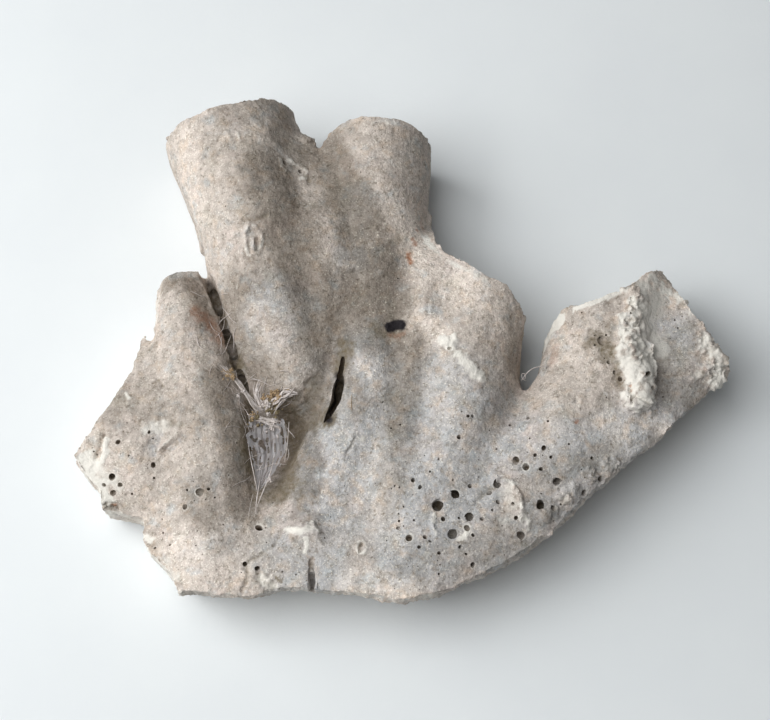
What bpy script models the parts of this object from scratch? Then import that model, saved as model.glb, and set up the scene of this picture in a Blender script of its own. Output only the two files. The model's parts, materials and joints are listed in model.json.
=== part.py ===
"""Raw precious coral: one broken piece of a fan-shaped colony, lying on its flat cut back.

Five stubby branches rise from one base and are fused low down, as a thick colony grows. Each
branch ends in a rough break. The piece is split at its main forks, with a narrow gap at each,
and a wisp of dried web is caught in the hollow between the left and the tall branch.
Lengths are in millimetres in the tables and become metres where a mesh is made.
The origin is at the middle of the piece's footprint, on the surface that it lies on, and +Y runs
from the base towards the branch tips.
"""

import math

import bmesh
import bpy
from mathutils import Matrix, Vector, noise
from mathutils.bvhtree import BVHTree

MM = 0.001

# How fine the mesh is
GROWTH_VOXEL = 0.9
DETAIL_VOXEL = 0.7
SKIN_TRIANGLES = 4800
FORK_GAP = 0.3
WEB_VOXEL = 0.22
WEB_TRIANGLES = 420
RING_SIDES = 24
STRAND_SIDES = 8
STRAND_STEPS = 3
GAP_SIDES = 10
GAP_STEPS = 2
BACK_FULLNESS = 1.14
PATH_STEPS = 5
GROWTH_SMOOTHING = 24
DETAIL_SMOOTHING = 2

# Undulation of the grown surface: (wavelength, height)
SWELLS = ((9.0, 0.5), (4.0, 0.26), (1.9, 0.1))
LAYER = 0.15
BREAK_ROUGHNESS = 0.6
BREAK_GRAIN = 2.6
BREAK_STEP = 2.2
BREAK_LOW = -4.0
BREAK_HIGH = 26.0
BREAK_REACH = 62.0
LEFT_TIP_REACH = 20.0
BLOCK_WIDTH = 160.0
BELOW_ALL = -20.0
ABOVE_ALL = 40.0
PIT_SIDES = 6
PIT_DEPTH = 1.7
PIT_ABOVE = 0.6
PIT_TAPER = 0.55

# Branches, each a row of stations along its middle: (x, y, z, half width, half height)
TALL_BRANCH = (
    (-28.0, 43.0, 9.2, 10.3, 9.2),
    (-26.5, 38.0, 9.2, 10.1, 9.2),
    (-24.5, 31.5, 9.2, 9.8, 9.4),
    (-22.3, 24.0, 9.2, 9.2, 9.4),
    (-20.0, 14.0, 9.0, 8.6, 9.0),
    (-17.4, 4.0, 8.4, 7.2, 8.2),
    (-15.8, -3.0, 7.6, 6.2, 7.0),
    (-15.0, -8.5, 5.8, 4.6, 5.4),
)
MIDDLE_BRANCH = (
    (-3.4, 42.0, 8.4, 8.1, 7.6),
    (-3.5, 34.0, 8.6, 8.2, 8.0),
    (-3.7, 27.0, 8.6, 7.9, 8.0),
    (-4.2, 19.0, 8.4, 7.2, 7.8),
    (-4.6, 9.0, 8.0, 6.8, 7.4),
    (-4.8, 2.0, 7.8, 5.8, 7.4),
    (-5.8, -6.5, 7.4, 5.4, 7.4),
    (-8.6, -14.5, 7.0, 5.8, 6.8),
    (-12.5, -22.0, 6.4, 6.6, 6.2),
    (-16.0, -30.0, 6.2, 7.4, 5.8),
    (-18.0, -44.0, 6.2, 8.0, 5.6),
)
SHORT_BRANCH = (
    (14.0, 22.0, 8.0, 8.8, 6.6),
    (12.4, 14.0, 8.0, 8.6, 7.0),
    (10.5, 5.0, 8.0, 8.0, 7.6),
    (9.2, -2.0, 7.8, 7.8, 7.6),
    (7.4, -11.0, 7.4, 7.4, 7.4),
    (5.0, -20.0, 7.0, 8.2, 7.0),
    (2.6, -30.0, 6.6, 9.4, 6.4),
    (0.0, -44.0, 6.4, 9.8, 6.0),
)
RIGHT_BRANCH = (
    (30.6, 16.0, 7.0, 9.0, 6.4),
    (29.8, 8.0, 7.2, 8.9, 6.8),
    (28.2, -1.0, 7.2, 7.8, 7.0),
    (24.0, -10.0, 7.0, 8.0, 6.8),
    (16.0, -19.0, 6.6, 8.6, 6.6),
    (7.0, -26.0, 6.4, 8.4, 6.4),
)
RIGHT_BRANCH_END = (
    (51.0, 11.0, 6.2, 10.4, 6.2),
    (44.6, 5.0, 6.0, 9.8, 5.6),
    (38.5, -2.5, 6.0, 8.2, 5.6),
    (31.0, -9.0, 6.6, 7.8, 6.4),
    (22.0, -15.0, 7.0, 8.0, 6.8),
)
LEFT_BRANCH = (
    (-32.6, 15.2, 7.4, 3.4, 4.6),
    (-32.4, 12.0, 7.4, 3.7, 5.4),
    (-31.2, 3.5, 7.4, 5.2, 6.6),
    (-29.2, -6.0, 7.2, 6.8, 7.0),
    (-27.6, -16.0, 7.0, 7.4, 6.8),
    (-26.8, -26.0, 6.6, 8.2, 6.4),
    (-26.0, -44.0, 6.2, 8.4, 5.8),
)
LEFT_LOBE = (
    (-52.0, -15.0, 5.4, 11.0, 5.2),
    (-43.5, -12.0, 5.8, 12.4, 5.6),
    (-35.5, -11.0, 6.4, 12.6, 6.2),
    (-27.5, -11.5, 6.4, 10.0, 6.4),
)
LEFT_LOBE_TIP = (
    (-40.5, 8.0, 5.4, 2.8, 3.6),
    (-39.0, 1.0, 5.8, 4.0, 4.6),
    (-36.0, -7.0, 6.2, 6.0, 5.6),
)
BASE = (
    (-40.0, -33.5, 5.2, 9.4, 5.0),
    (-30.0, -33.0, 5.8, 9.6, 5.6),
    (-18.0, -32.0, 6.4, 10.0, 6.2),
    (-6.0, -32.0, 6.6, 11.0, 6.4),
    (4.0, -29.0, 6.8, 10.4, 6.6),
    (14.0, -24.0, 6.8, 9.6, 6.6),
    (24.0, -17.5, 6.6, 8.4, 6.4),
    (32.0, -12.0, 6.4, 7.0, 6.2),
)

# Coral that fills the forks between the branches
FORK_TALL_MIDDLE = (
    (-13.0, 34.6, 6.6, 3.6, 5.4),
    (-12.4, 28.0, 7.6, 5.0, 7.0),
    (-11.6, 18.0, 8.2, 5.4, 8.2),
    (-10.8, 7.0, 8.0, 5.0, 8.4),
    (-10.2, 0.0, 7.0, 3.6, 7.0),
)
FORK_MIDDLE_SHORT = (
    (3.6, 17.6, 7.0, 2.8, 5.8),
    (3.4, 10.0, 8.0, 5.0, 7.4),
    (2.2, 0.0, 7.8, 4.6, 7.2),
    (0.6, -10.0, 7.0, 4.0, 6.6),
    (-2.0, -22.0, 6.8, 5.0, 6.8),
)
FORK_SHORT_RIGHT = (
    (17.4, -9.6, 6.0, 2.4, 5.0),
    (14.6, -15.0, 7.0, 4.6, 6.4),
)
FORK_LEFT_TALL = (
    (-24.6, 2.0, 3.6, 2.6, 3.4),
    (-20.0, -12.0, 3.2, 5.4, 3.2),
    (-19.4, -24.0, 6.0, 4.4, 5.4),
)

HOLLOW_FLOOR = (
    (-14.6, -4.0, 2.6, 3.4, 3.0),
    (-15.4, -10.0, 3.0, 4.4, 3.4),
    (-16.4, -16.0, 3.4, 4.6, 3.6),
)

# Crests that stand up from the skin
ARC_CREST = (
    (11.8, -19.8, 12.6, 0.5, 0.5),
    (14.3, -20.3, 12.7, 0.8, 1.1),
    (15.9, -21.3, 12.8, 0.8, 1.2),
    (16.6, -23.2, 12.7, 0.7, 1.1),
    (16.4, -27.4, 12.2, 0.5, 0.5),
)
FOOT_CREST = (
    (-16.4, -28.2, 12.0, 0.5, 0.6),
    (-14.4, -27.0, 12.4, 0.8, 1.0),
    (-12.2, -27.4, 12.6, 0.8, 1.1),
    (-11.4, -29.2, 12.4, 0.5, 0.6),
)

# Lumps on the skin: (x, y, z, radius)
LUMPS = (
    (32.8, 7.4, 12.8, 1.5),
    (32.2, 4.4, 12.9, 1.8),
    (31.8, 1.4, 12.9, 2.1),
    (32.0, -1.2, 12.7, 2.4),
    (33.0, -3.7, 12.5, 2.4),
    (33.4, -6.2, 12.2, 2.3),
    (32.4, -8.4, 12.0, 1.9),
    (-14.6, 33.2, 12.0, 1.3),
    (-17.4, 27.4, 15.2, 1.2),
    (-15.0, 27.0, 14.0, 1.2),
    (-24.2, 30.4, 17.7, 1.0),
    (-21.8, 16.6, 16.9, 1.4),
    (-21.2, 14.2, 16.6, 1.3),
    (-21.9, 12.0, 16.4, 1.2),
    (7.1, 0.0, 14.5, 1.1),
    (-30.4, -8.6, 12.4, 1.6),
    (38.2, -11.0, 10.0, 1.6),
    (46.0, -1.0, 10.0, 1.6),
)

# Gaps that stay open between branches, as thin upright shapes that are cut out
LEFT_CREVICE = (
    (-30.0, 15.5, 13.0, 0.9, 6.0),
    (-28.6, 12.0, 13.0, 0.6, 6.4),
    (-27.1, 8.4, 13.2, 0.8, 6.6),
    (-26.3, 5.2, 13.2, 0.5, 6.8),
    (-25.0, 1.8, 13.2, 0.7, 7.0),
    (-24.0, -1.6, 13.0, 0.5, 7.0),
    (-22.5, -6.2, 12.4, 0.5, 6.6),
)
FORK_NOTCH = (
    (19.6, 6.0, 9.0, 1.6, 12.0),
    (19.0, 3.0, 9.0, 1.5, 12.0),
    (18.7, -0.5, 9.0, 1.5, 12.0),
    (18.2, -3.0, 9.0, 1.2, 12.0),
    (17.5, -5.2, 9.0, 0.3, 12.0),
)
SPUR_NOTCH = (
    (-37.2, 4.8, 8.0, 1.2, 12.0),
    (-36.7, 3.2, 8.0, 0.8, 12.0),
    (-36.1, 1.3, 8.0, 0.15, 12.0),
)
FOOT_SLOT = (
    (-12.8, -30.0, 13.2, 0.3, 1.2),
    (-12.6, -32.0, 12.4, 0.5, 3.0),
    (-12.6, -38.0, 11.0, 0.6, 5.0),
)
MIDDLE_SLOT = (
    (-8.5, -3.4, 13.2, 0.3, 4.0),
    (-8.9, -5.4, 12.0, 0.6, 5.6),
    (-9.5, -7.8, 11.4, 0.7, 6.6),
    (-10.7, -10.4, 11.0, 0.4, 5.6),
)

# The dried web that is caught in the hollow: a torn sheet with a long tail, and three strands
WEB = (
    (
        (-19.6, -7.0, 11.0, 2.6, 0.5),
        (-19.9, -9.4, 10.2, 2.5, 0.6),
        (-19.7, -11.9, 9.7, 2.1, 0.6),
        (-19.6, -14.6, 10.2, 1.5, 0.6),
        (-19.8, -17.6, 10.9, 1.0, 0.5),
        (-20.1, -20.6, 11.8, 0.7, 0.5),
        (-20.3, -23.0, 12.4, 0.5, 0.4),
        (-20.4, -25.2, 12.6, 0.4, 0.4),
    ),
    (
        (-25.9, -2.0, 13.2, 0.4, 0.4),
        (-24.7, -3.9, 12.5, 0.4, 0.4),
        (-23.3, -5.3, 11.6, 0.5, 0.4),
        (-21.6, -6.8, 11.0, 0.5, 0.5),
        (-20.2, -8.4, 10.5, 0.6, 0.5),
    ),
    (
        (-20.9, -4.2, 12.0, 0.4, 0.4),
        (-20.7, -6.0, 11.3, 0.5, 0.4),
        (-20.3, -8.2, 10.6, 0.6, 0.5),
    ),
    (
        (-15.5, -6.7, 13.1, 0.4, 0.4),
        (-17.2, -6.6, 12.7, 0.5, 0.5),
        (-18.8, -7.2, 11.6, 0.7, 0.5),
        (-19.8, -8.8, 10.6, 0.8, 0.5),
    ),
)

# Bored holes: (x, y, radius)
PITS = (
    (7.3, -22.0, 0.73),
    (4.9, -23.6, 1.02),
    (9.2, -25.3, 0.73),
    (8.9, -26.9, 0.58),
    (6.9, -27.7, 0.88),
    (0.8, -28.3, 0.58),
    (9.7, -31.9, 0.45),
    (12.1, -21.7, 0.45),
    (13.2, -20.4, 0.73),
    (16.4, -27.6, 0.73),
    (15.9, -16.9, 0.58),
    (17.3, -18.0, 0.58),
    (19.9, -15.3, 0.45),
    (21.6, -20.0, 0.73),
    (27.8, -19.3, 0.45),
    (25.5, -21.4, 0.51),
    (19.2, -23.6, 0.73),
    (21.0, -23.7, 0.45),
    (5.6, -25.6, 0.45),
    (1.4, -20.0, 0.45),
    (2.4, -21.0, 0.45),
    (9.4, -20.7, 0.45),
    (13.3, -23.1, 0.45),
    (7.9, -13.9, 0.45),
    (9.5, -10.9, 0.45),
    (17.8, -10.4, 0.45),
    (11.0, -25.6, 0.45),
    (15.8, -25.3, 0.45),
    (-0.7, -26.8, 0.45),
    (3.0, -28.2, 0.45),
    (-41.1, -18.7, 0.58),
    (-41.0, -20.8, 0.58),
    (-40.0, -19.8, 0.45),
    (-42.3, -19.7, 0.45),
    (-35.3, -17.2, 0.45),
    (-40.4, -13.7, 0.45),
    (-28.4, -21.5, 0.73),
    (-30.5, -23.5, 0.45),
    (-20.3, -26.3, 0.58),
    (-20.1, -32.3, 0.45),
    (-21.9, -31.8, 0.45),
    (35.2, -4.4, 0.58),
    (35.5, -6.3, 0.51),
    (29.3, -2.5, 0.45),
    (30.2, -4.2, 0.58),
    (28.6, 0.8, 0.73),
    (27.1, -0.4, 0.58),
    (19.5, -11.0, 0.45),
    (24.5, -8.2, 0.58),
)

# Cuts at the forks, in the order they are made: the node that each takes off, its colour, and the
# lines that bound it in plan, each with the node on its left
FORKS = (
    ("right_branch", (0.47, 0.43, 0.39), (((17.7, -5.0), (12.5, -31.5)),)),
    ("base", (0.46, 0.43, 0.40), (((17.7, -5.0), (-36.8, -24.4)),)),
    ("left_branch", (0.50, 0.43, 0.38), (((-23.6, -1.9), (-30.6, 15.0)),)),
    ("tall_branch", (0.50, 0.43, 0.38), (((-13.5, -15.5), (-8.8, -3.6)), ((-8.8, -3.6), (-12.7, 32.0)))),
    ("middle_branch", (0.46, 0.41, 0.37), (((0.4, -12.3), (4.4, 20.2)),)),
)
LAST_NODE = ("short_branch", (0.48, 0.42, 0.37))

# Breaks: the direction of what broke off, the line of the rim in plan, the rim's height, and how far
# the face leans in for each millimetre below the rim
BREAKS = (
    ((0.15, 0.99), ((-13.4, 32.6), (-16.2, 39.2), (-26.2, 36.4), (-36.0, 33.4), (-44.0, 30.6)), 9.0, 0.0),
    (
        (0.0, 1.0),
        (
            (9.0, 33.0),
            (4.6, 33.8),
            (0.0, 34.7),
            (-3.6, 34.9),
            (-8.2, 35.3),
            (-10.9, 34.4),
            (-11.9, 31.8),
            (-12.8, 30.2),
        ),
        9.0,
        0.0,
    ),
    (
        (0.0, 1.0),
        (
            (44.0, 15.6),
            (37.9, 13.2),
            (35.9, 11.9),
            (31.9, 8.8),
            (27.3, 6.7),
            (23.4, 6.5),
            (21.4, 4.8),
            (20.2, 2.0),
            (18.9, 2.0),
            (18.1, 5.4),
            (17.1, 7.2),
            (14.9, 9.2),
            (12.7, 10.3),
            (10.6, 11.7),
            (8.4, 13.2),
            (6.3, 14.6),
            (5.2, 16.4),
            (4.6, 19.0),
        ),
        12.0,
        0.1,
    ),
    (
        (1.0, 0.0),
        (
            (43.6, -8.0),
            (45.4, -5.2),
            (47.4, -2.4),
            (46.7, 0.0),
            (44.8, 2.1),
            (41.4, 7.8),
            (38.4, 13.2),
            (36.0, 18.0),
        ),
        10.0,
        0.1,
    ),
    (
        (0.6, -0.8),
        (
            (4.0, -36.0),
            (8.0, -34.4),
            (13.8, -31.5),
            (20.4, -27.2),
            (23.3, -24.3),
            (26.8, -20.8),
            (30.0, -18.4),
            (31.9, -16.2),
            (36.0, -13.7),
            (39.8, -9.3),
            (44.2, -5.4),
            (48.6, -2.6),
        ),
        9.0,
        0.45,
    ),
    (
        (0.0, -1.0),
        (
            (-36.0, -36.4),
            (-30.4, -35.6),
            (-21.3, -36.1),
            (-16.4, -34.8),
            (-10.2, -35.5),
            (-5.3, -35.8),
            (-0.4, -36.8),
            (4.0, -36.0),
            (9.0, -34.0),
        ),
        10.0,
        0.4,
    ),
    (
        (-1.0, 0.0),
        (
            (-36.4, 11.0),
            (-36.2, 8.2),
            (-36.0, 4.0),
            (-37.8, 2.8),
            (-38.4, -1.0),
            (-40.1, -5.0),
            (-42.0, -8.2),
            (-44.3, -12.0),
            (-46.7, -15.4),
            (-45.1, -17.8),
            (-42.9, -20.3),
            (-42.9, -22.4),
            (-39.7, -23.2),
            (-36.6, -24.1),
            (-36.4, -27.3),
            (-35.6, -29.2),
            (-32.6, -32.2),
            (-31.2, -34.9),
            (-31.0, -39.0),
        ),
        6.5,
        0.2,
    ),
)
LEFT_TIP_BREAK = ((-0.1, 1.0), ((-28.8, 13.0), (-32.4, 12.0), (-35.8, 11.0), (-38.0, 10.2)), 8.0, 0.0)


def clear_scene():
    """Removes every object, so that the file starts empty."""
    for old in list(bpy.data.objects):
        bpy.data.objects.remove(old, do_unlink=True)


def new_object(name, bm):
    """An object of that name, made from a bmesh, with its normals pointing out."""
    bmesh.ops.recalc_face_normals(bm, faces=bm.faces[:])
    mesh = bpy.data.meshes.new(name)
    bm.to_mesh(mesh)
    bm.free()
    made = bpy.data.objects.new(name, mesh)
    bpy.context.scene.collection.objects.link(made)
    return made


def apply_modifier(obj, kind, **settings):
    """Adds one modifier with those settings and applies it."""
    modifier = obj.modifiers.new(kind.title(), kind)
    for name, value in settings.items():
        setattr(modifier, name, value)
    graph = bpy.context.evaluated_depsgraph_get()
    made = bpy.data.meshes.new_from_object(obj.evaluated_get(graph))
    obj.modifiers.clear()
    old = obj.data
    obj.data = made
    bpy.data.meshes.remove(old)


def between(a, b, c, d, t):
    """The Catmull-Rom curve from b to c, with a before and d after them."""
    return 0.5 * (
        2 * b + (c - a) * t + (2 * a - 5 * b + 4 * c - d) * t * t + (3 * b - a - 3 * c + d) * t**3
    )


def smooth_stations(stations, steps):
    """The stations of a branch with more of them in between, on a smooth curve."""
    rows = [stations[0], *stations, stations[-1]]
    made = []
    for i in range(1, len(rows) - 2):
        for step in range(steps):
            t = step / steps
            made.append([between(*(rows[i + k][n] for k in (-1, 0, 1, 2)), t) for n in range(5)])
    made.append(list(stations[-1]))
    return made


def branch(stations, sides=RING_SIDES, steps=PATH_STEPS):
    """A closed bmesh of one branch: oval rings that stand across its path."""
    bm = bmesh.new()
    rows = smooth_stations(stations, steps)
    rings = []
    for i, (x, y, z, half_width, half_height) in enumerate(rows):
        before, after = rows[max(i - 1, 0)], rows[min(i + 1, len(rows) - 1)]
        along = Vector((after[0] - before[0], after[1] - before[1], 0)).normalized()
        side = Vector((-along.y, along.x, 0))
        ring = []
        for k in range(sides):
            turn = math.tau * k / sides
            at = Vector((x, y, z)) + side * half_width * math.cos(turn)
            rise = half_height * math.sin(turn)
            at.z += rise if rise > 0 else rise * BACK_FULLNESS
            ring.append(bm.verts.new(at * MM))
        rings.append(ring)
    for one, other in zip(rings, rings[1:]):
        for k in range(sides):
            after = (k + 1) % sides
            bm.faces.new((one[k], one[after], other[after], other[k]))
    bm.faces.new(rings[0])
    bm.faces.new(rings[-1])
    return bm


def joined(name, parts):
    """One bmesh that holds all the parts, as an object."""
    whole = bmesh.new()
    for part in parts:
        bmesh.ops.recalc_face_normals(part, faces=part.faces[:])
        mesh = bpy.data.meshes.new("part")
        part.to_mesh(mesh)
        part.free()
        whole.from_mesh(mesh)
        bpy.data.meshes.remove(mesh)
    return new_object(name, whole)


def fuse(obj, voxel, smoothing):
    """Grows an object's overlapping shapes into one skin, with soft valleys between them."""
    apply_modifier(obj, "REMESH", mode="VOXEL", voxel_size=voxel * MM, adaptivity=0.0)
    apply_modifier(obj, "SMOOTH", factor=0.5, iterations=smoothing)


def along_line(points, spacing):
    """Points about that far apart along a line."""
    made = []
    for start, end in zip(points, points[1:]):
        steps = max(1, round(math.dist(start, end) / spacing))
        made += [Vector(start).lerp(Vector(end), k / steps) for k in range(steps)]
    made.append(Vector(points[-1]))
    return made


def break_cutter(away, line, rim, lean, reach=BREAK_REACH):
    """A block with a rough broken face through the line. It takes away all that lies beyond the line."""
    away = Vector((*away, 0)).normalized()
    points = along_line([(x, y, 0) for x, y in line], BREAK_STEP)
    levels = [BREAK_LOW + BREAK_STEP * k for k in range(int((BREAK_HIGH - BREAK_LOW) / BREAK_STEP) + 1)]
    bm = bmesh.new()
    near = []
    for at in points:
        row = []
        for level in levels:
            place = Vector((at.x, at.y, level))
            grain = noise.noise(place / BREAK_GRAIN) + 0.5 * noise.noise(place * 2 / BREAK_GRAIN)
            place += away * (BREAK_ROUGHNESS * grain - lean * max(rim - level, 0))
            row.append(bm.verts.new(place * MM))
        near.append(row)
    for one, other in zip(near, near[1:]):
        for k in range(len(levels) - 1):
            bm.faces.new((one[k], other[k], other[k + 1], one[k + 1]))
    rims = bmesh.ops.extrude_edge_only(bm, edges=[e for e in bm.edges if e.is_boundary])["geom"]
    for vert in rims:
        if isinstance(vert, bmesh.types.BMVert):
            vert.co += away * (reach * MM - vert.co.dot(away))
    bmesh.ops.contextual_create(bm, geom=[e for e in bm.edges if e.is_boundary])
    return new_object("break", bm)


def cut(obj, cutter, operation="DIFFERENCE"):
    """Takes the cutter's shape out of the object, or all but it, and deletes the cutter.

    The MANIFOLD solver, as EXACT loses the whole body on some of these rough faces.
    """
    apply_modifier(obj, "BOOLEAN", operation=operation, solver="MANIFOLD", object=cutter)
    bpy.data.objects.remove(cutter, do_unlink=True)


def block(low, high, lines=(), spread=0.0):
    """A block between two heights, cut down to what is on the left of all the lines, moved out by spread."""
    bm = bmesh.new()
    bmesh.ops.create_cube(bm, size=1)
    middle = Vector((0, 0, (low + high) / 2))
    for vert in bm.verts:
        sized = Vector((vert.co.x * BLOCK_WIDTH, vert.co.y * BLOCK_WIDTH, vert.co.z * (high - low)))
        vert.co = (middle + sized) * MM
    for start, end in lines:
        along = (Vector(end) - Vector(start)).normalized()
        right = Vector((along.y, -along.x, 0))
        rim = bmesh.ops.bisect_plane(
            bm,
            geom=bm.verts[:] + bm.edges[:] + bm.faces[:],
            plane_co=(Vector((*start, 0)) + right * spread) * MM,
            plane_no=right,
            clear_outer=True,
        )["geom_cut"]
        bmesh.ops.contextual_create(bm, geom=[e for e in rim if isinstance(e, bmesh.types.BMEdge)])
    return new_object("block", bm)


def lump(x, y, z, radius):
    """A closed bmesh of one rounded lump."""
    bm = bmesh.new()
    bmesh.ops.create_icosphere(bm, subdivisions=2, radius=radius * MM)
    bmesh.ops.translate(bm, verts=bm.verts[:], vec=Vector((x, y, z)) * MM)
    return bm


def pit_cutters(obj):
    """One object of tapered six-sided plugs, each standing across the skin at a bored hole."""
    mesh = bmesh.new()
    mesh.from_mesh(obj.data)
    skin = BVHTree.FromBMesh(mesh)
    mesh.free()
    plugs = []
    for i, (x, y, radius) in enumerate(PITS):
        place, normal, _, _ = skin.ray_cast(Vector((x, y, ABOVE_ALL)) * MM, Vector((0, 0, -1)))
        if place is None:
            continue
        depth = radius * PIT_DEPTH
        turn = normal.to_track_quat("Z", "Y").to_matrix().to_4x4() @ Matrix.Rotation(i, 4, "Z")
        middle = place + normal * (PIT_ABOVE - depth) / 2 * MM
        bm = bmesh.new()
        bmesh.ops.create_cone(
            bm,
            cap_ends=True,
            segments=PIT_SIDES,
            radius1=radius * PIT_TAPER * MM,
            radius2=radius * MM,
            depth=(depth + PIT_ABOVE) * MM,
            matrix=Matrix.Translation(middle) @ turn,
        )
        plugs.append(bm)
    return joined("pits", plugs)


def caught_web(coral):
    """The dried web over the hollow, trimmed so that it stays a gap away from the coral."""
    web = joined("dried_web", [branch(stations, STRAND_SIDES, STRAND_STEPS) for stations in WEB])
    fuse(web, WEB_VOXEL, 1)
    apply_modifier(web, "DECIMATE", ratio=WEB_TRIANGLES / 2 / len(web.data.polygons))
    around = coral.copy()
    around.data = coral.data.copy()
    bpy.context.scene.collection.objects.link(around)
    apply_modifier(around, "DISPLACE", strength=FORK_GAP * MM, mid_level=0.0)
    cut(web, around)
    keep_main_body(web)
    return web


def painted(obj, name, colour):
    """Gives the finished node its name and its matt material."""
    obj.name = name
    obj.data.name = name
    material = bpy.data.materials.new(name)
    material.use_nodes = True
    shader = material.node_tree.nodes["Principled BSDF"]
    shader.inputs["Base Color"].default_value = (*colour, 1)
    shader.inputs["Roughness"].default_value = 0.9
    shader.inputs["Metallic"].default_value = 0.0
    obj.data.materials.clear()
    obj.data.materials.append(material)


def swell(obj):
    """Moves the skin out along its normals, by an even layer and the waves of the grown surface."""
    moved = []
    for vert in obj.data.vertices:
        at = vert.co / MM
        layer = LAYER + sum(height * noise.noise(at / length) for length, height in SWELLS)
        moved.append(vert.co + vert.normal * layer * MM)
    for vert, place in zip(obj.data.vertices, moved):
        vert.co = place


def keep_main_body(obj):
    """Deletes every loose piece but the largest."""
    bm = bmesh.new()
    bm.from_mesh(obj.data)
    left = set(bm.verts)
    bodies = []
    while left:
        body = {left.pop()}
        edge = list(body)
        while edge:
            near = {e.other_vert(v) for v in edge for e in v.link_edges} - body
            body |= near
            edge = list(near)
        left -= body
        bodies.append(body)
    bodies.sort(key=len)
    for body in bodies[:-1]:
        bmesh.ops.delete(bm, geom=list(body), context="VERTS")
    bm.to_mesh(obj.data)
    bm.free()


def centre(nodes):
    """Moves the nodes' meshes together, so that the middle of the footprint is the origin."""
    corners = [vert.co for node in nodes for vert in node.data.vertices]
    xs = [co.x for co in corners]
    ys = [co.y for co in corners]
    shift = Vector((-(min(xs) + max(xs)) / 2, -(min(ys) + max(ys)) / 2, 0))
    for node in nodes:
        node.data.transform(Matrix.Translation(shift))


def main():
    """Grows the coral, breaks it, and splits it at its forks."""
    clear_scene()
    growth = (
        TALL_BRANCH,
        MIDDLE_BRANCH,
        SHORT_BRANCH,
        RIGHT_BRANCH,
        RIGHT_BRANCH_END,
        LEFT_BRANCH,
        LEFT_LOBE,
        LEFT_LOBE_TIP,
        BASE,
        FORK_TALL_MIDDLE,
        FORK_MIDDLE_SHORT,
        FORK_SHORT_RIGHT,
        FORK_LEFT_TALL,
        HOLLOW_FLOOR,
    )
    coral = joined("coral", [branch(stations) for stations in growth])
    fuse(coral, GROWTH_VOXEL, GROWTH_SMOOTHING)
    swell(coral)
    skin = bmesh.new()
    skin.from_mesh(coral.data)
    bpy.data.objects.remove(coral, do_unlink=True)
    crests = [branch(stations) for stations in (ARC_CREST, FOOT_CREST)]
    coral = joined("coral", [skin, *crests, *(lump(*row) for row in LUMPS)])
    fuse(coral, DETAIL_VOXEL, DETAIL_SMOOTHING)
    apply_modifier(coral, "DECIMATE", ratio=SKIN_TRIANGLES / 2 / len(coral.data.polygons))

    for gap in (LEFT_CREVICE, MIDDLE_SLOT, FORK_NOTCH, SPUR_NOTCH, FOOT_SLOT):
        cut(coral, new_object("gap", branch(gap, GAP_SIDES, GAP_STEPS)))
    for broken in BREAKS:
        cut(coral, break_cutter(*broken))
    cut(coral, break_cutter(*LEFT_TIP_BREAK, reach=LEFT_TIP_REACH))
    cut(coral, block(BELOW_ALL, 0))
    keep_main_body(coral)
    cut(coral, pit_cutters(coral))
    keep_main_body(coral)

    web = caught_web(coral)
    painted(web, "dried_web", (0.62, 0.57, 0.54))
    nodes = [coral, web]
    for name, colour, lines in FORKS:
        node = coral.copy()
        node.data = coral.data.copy()
        bpy.context.scene.collection.objects.link(node)
        cut(node, block(BELOW_ALL, ABOVE_ALL, lines, -FORK_GAP / 2), "INTERSECT")
        cut(coral, block(BELOW_ALL, ABOVE_ALL, lines, FORK_GAP / 2))
        keep_main_body(node)
        painted(node, name, colour)
        nodes.append(node)
    keep_main_body(coral)
    painted(coral, *LAST_NODE)
    centre(nodes)


main()
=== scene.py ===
"""The looks of a raw piece of precious coral, lying on its flat cut back.

The coral's fine skin grows over the solids of the frame: they are fused and smoothed, marked with
scars and crests, roughened most where the branches broke, cut by two crevices, bored with holes, and
parted again at the forks. A wisp of dried web hangs in the hollow between the left and the tall
branch, and three stray hairs lie on the coral. Lengths are millimetres; MM turns them into metres.
Places that are read from the photograph are pixels of its 770 x 720 frame, across and down.
"""

import json
import logging
import math
from collections.abc import Callable
from dataclasses import dataclass, field
from enum import Enum

import bpy
import numpy as np
from mathutils import Matrix, Vector, noise
from mathutils.bvhtree import BVHTree
from mathutils.kdtree import KDTree

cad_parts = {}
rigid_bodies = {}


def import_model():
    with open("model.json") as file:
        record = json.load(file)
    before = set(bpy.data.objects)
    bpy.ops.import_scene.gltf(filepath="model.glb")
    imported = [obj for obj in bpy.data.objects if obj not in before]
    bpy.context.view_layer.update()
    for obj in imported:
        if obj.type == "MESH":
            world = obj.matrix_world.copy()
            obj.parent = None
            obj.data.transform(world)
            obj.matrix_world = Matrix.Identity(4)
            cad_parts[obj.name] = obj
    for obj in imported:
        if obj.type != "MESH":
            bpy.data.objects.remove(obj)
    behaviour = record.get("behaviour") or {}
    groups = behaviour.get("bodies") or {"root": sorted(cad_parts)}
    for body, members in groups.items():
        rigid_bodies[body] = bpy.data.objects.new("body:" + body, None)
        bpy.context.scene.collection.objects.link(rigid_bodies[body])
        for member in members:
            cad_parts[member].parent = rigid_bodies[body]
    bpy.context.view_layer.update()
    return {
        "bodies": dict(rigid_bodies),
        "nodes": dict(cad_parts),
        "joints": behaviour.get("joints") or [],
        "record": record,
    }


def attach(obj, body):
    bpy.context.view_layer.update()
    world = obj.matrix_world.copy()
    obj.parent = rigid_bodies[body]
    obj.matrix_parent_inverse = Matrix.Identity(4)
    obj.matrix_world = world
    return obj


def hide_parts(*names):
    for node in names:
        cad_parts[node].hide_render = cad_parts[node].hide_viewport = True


MM = 0.001
PHOTO_WIDTH = 770
PHOTO_HEIGHT = 720

# How much of the coral a pixel of the photograph covers
PIXEL = 0.146

# Points closer than these are merged: a solid's own, and those of a tube, which closes its caps
SOLID_MERGE = 0.001
TUBE_MERGE = 0.0005

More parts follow.
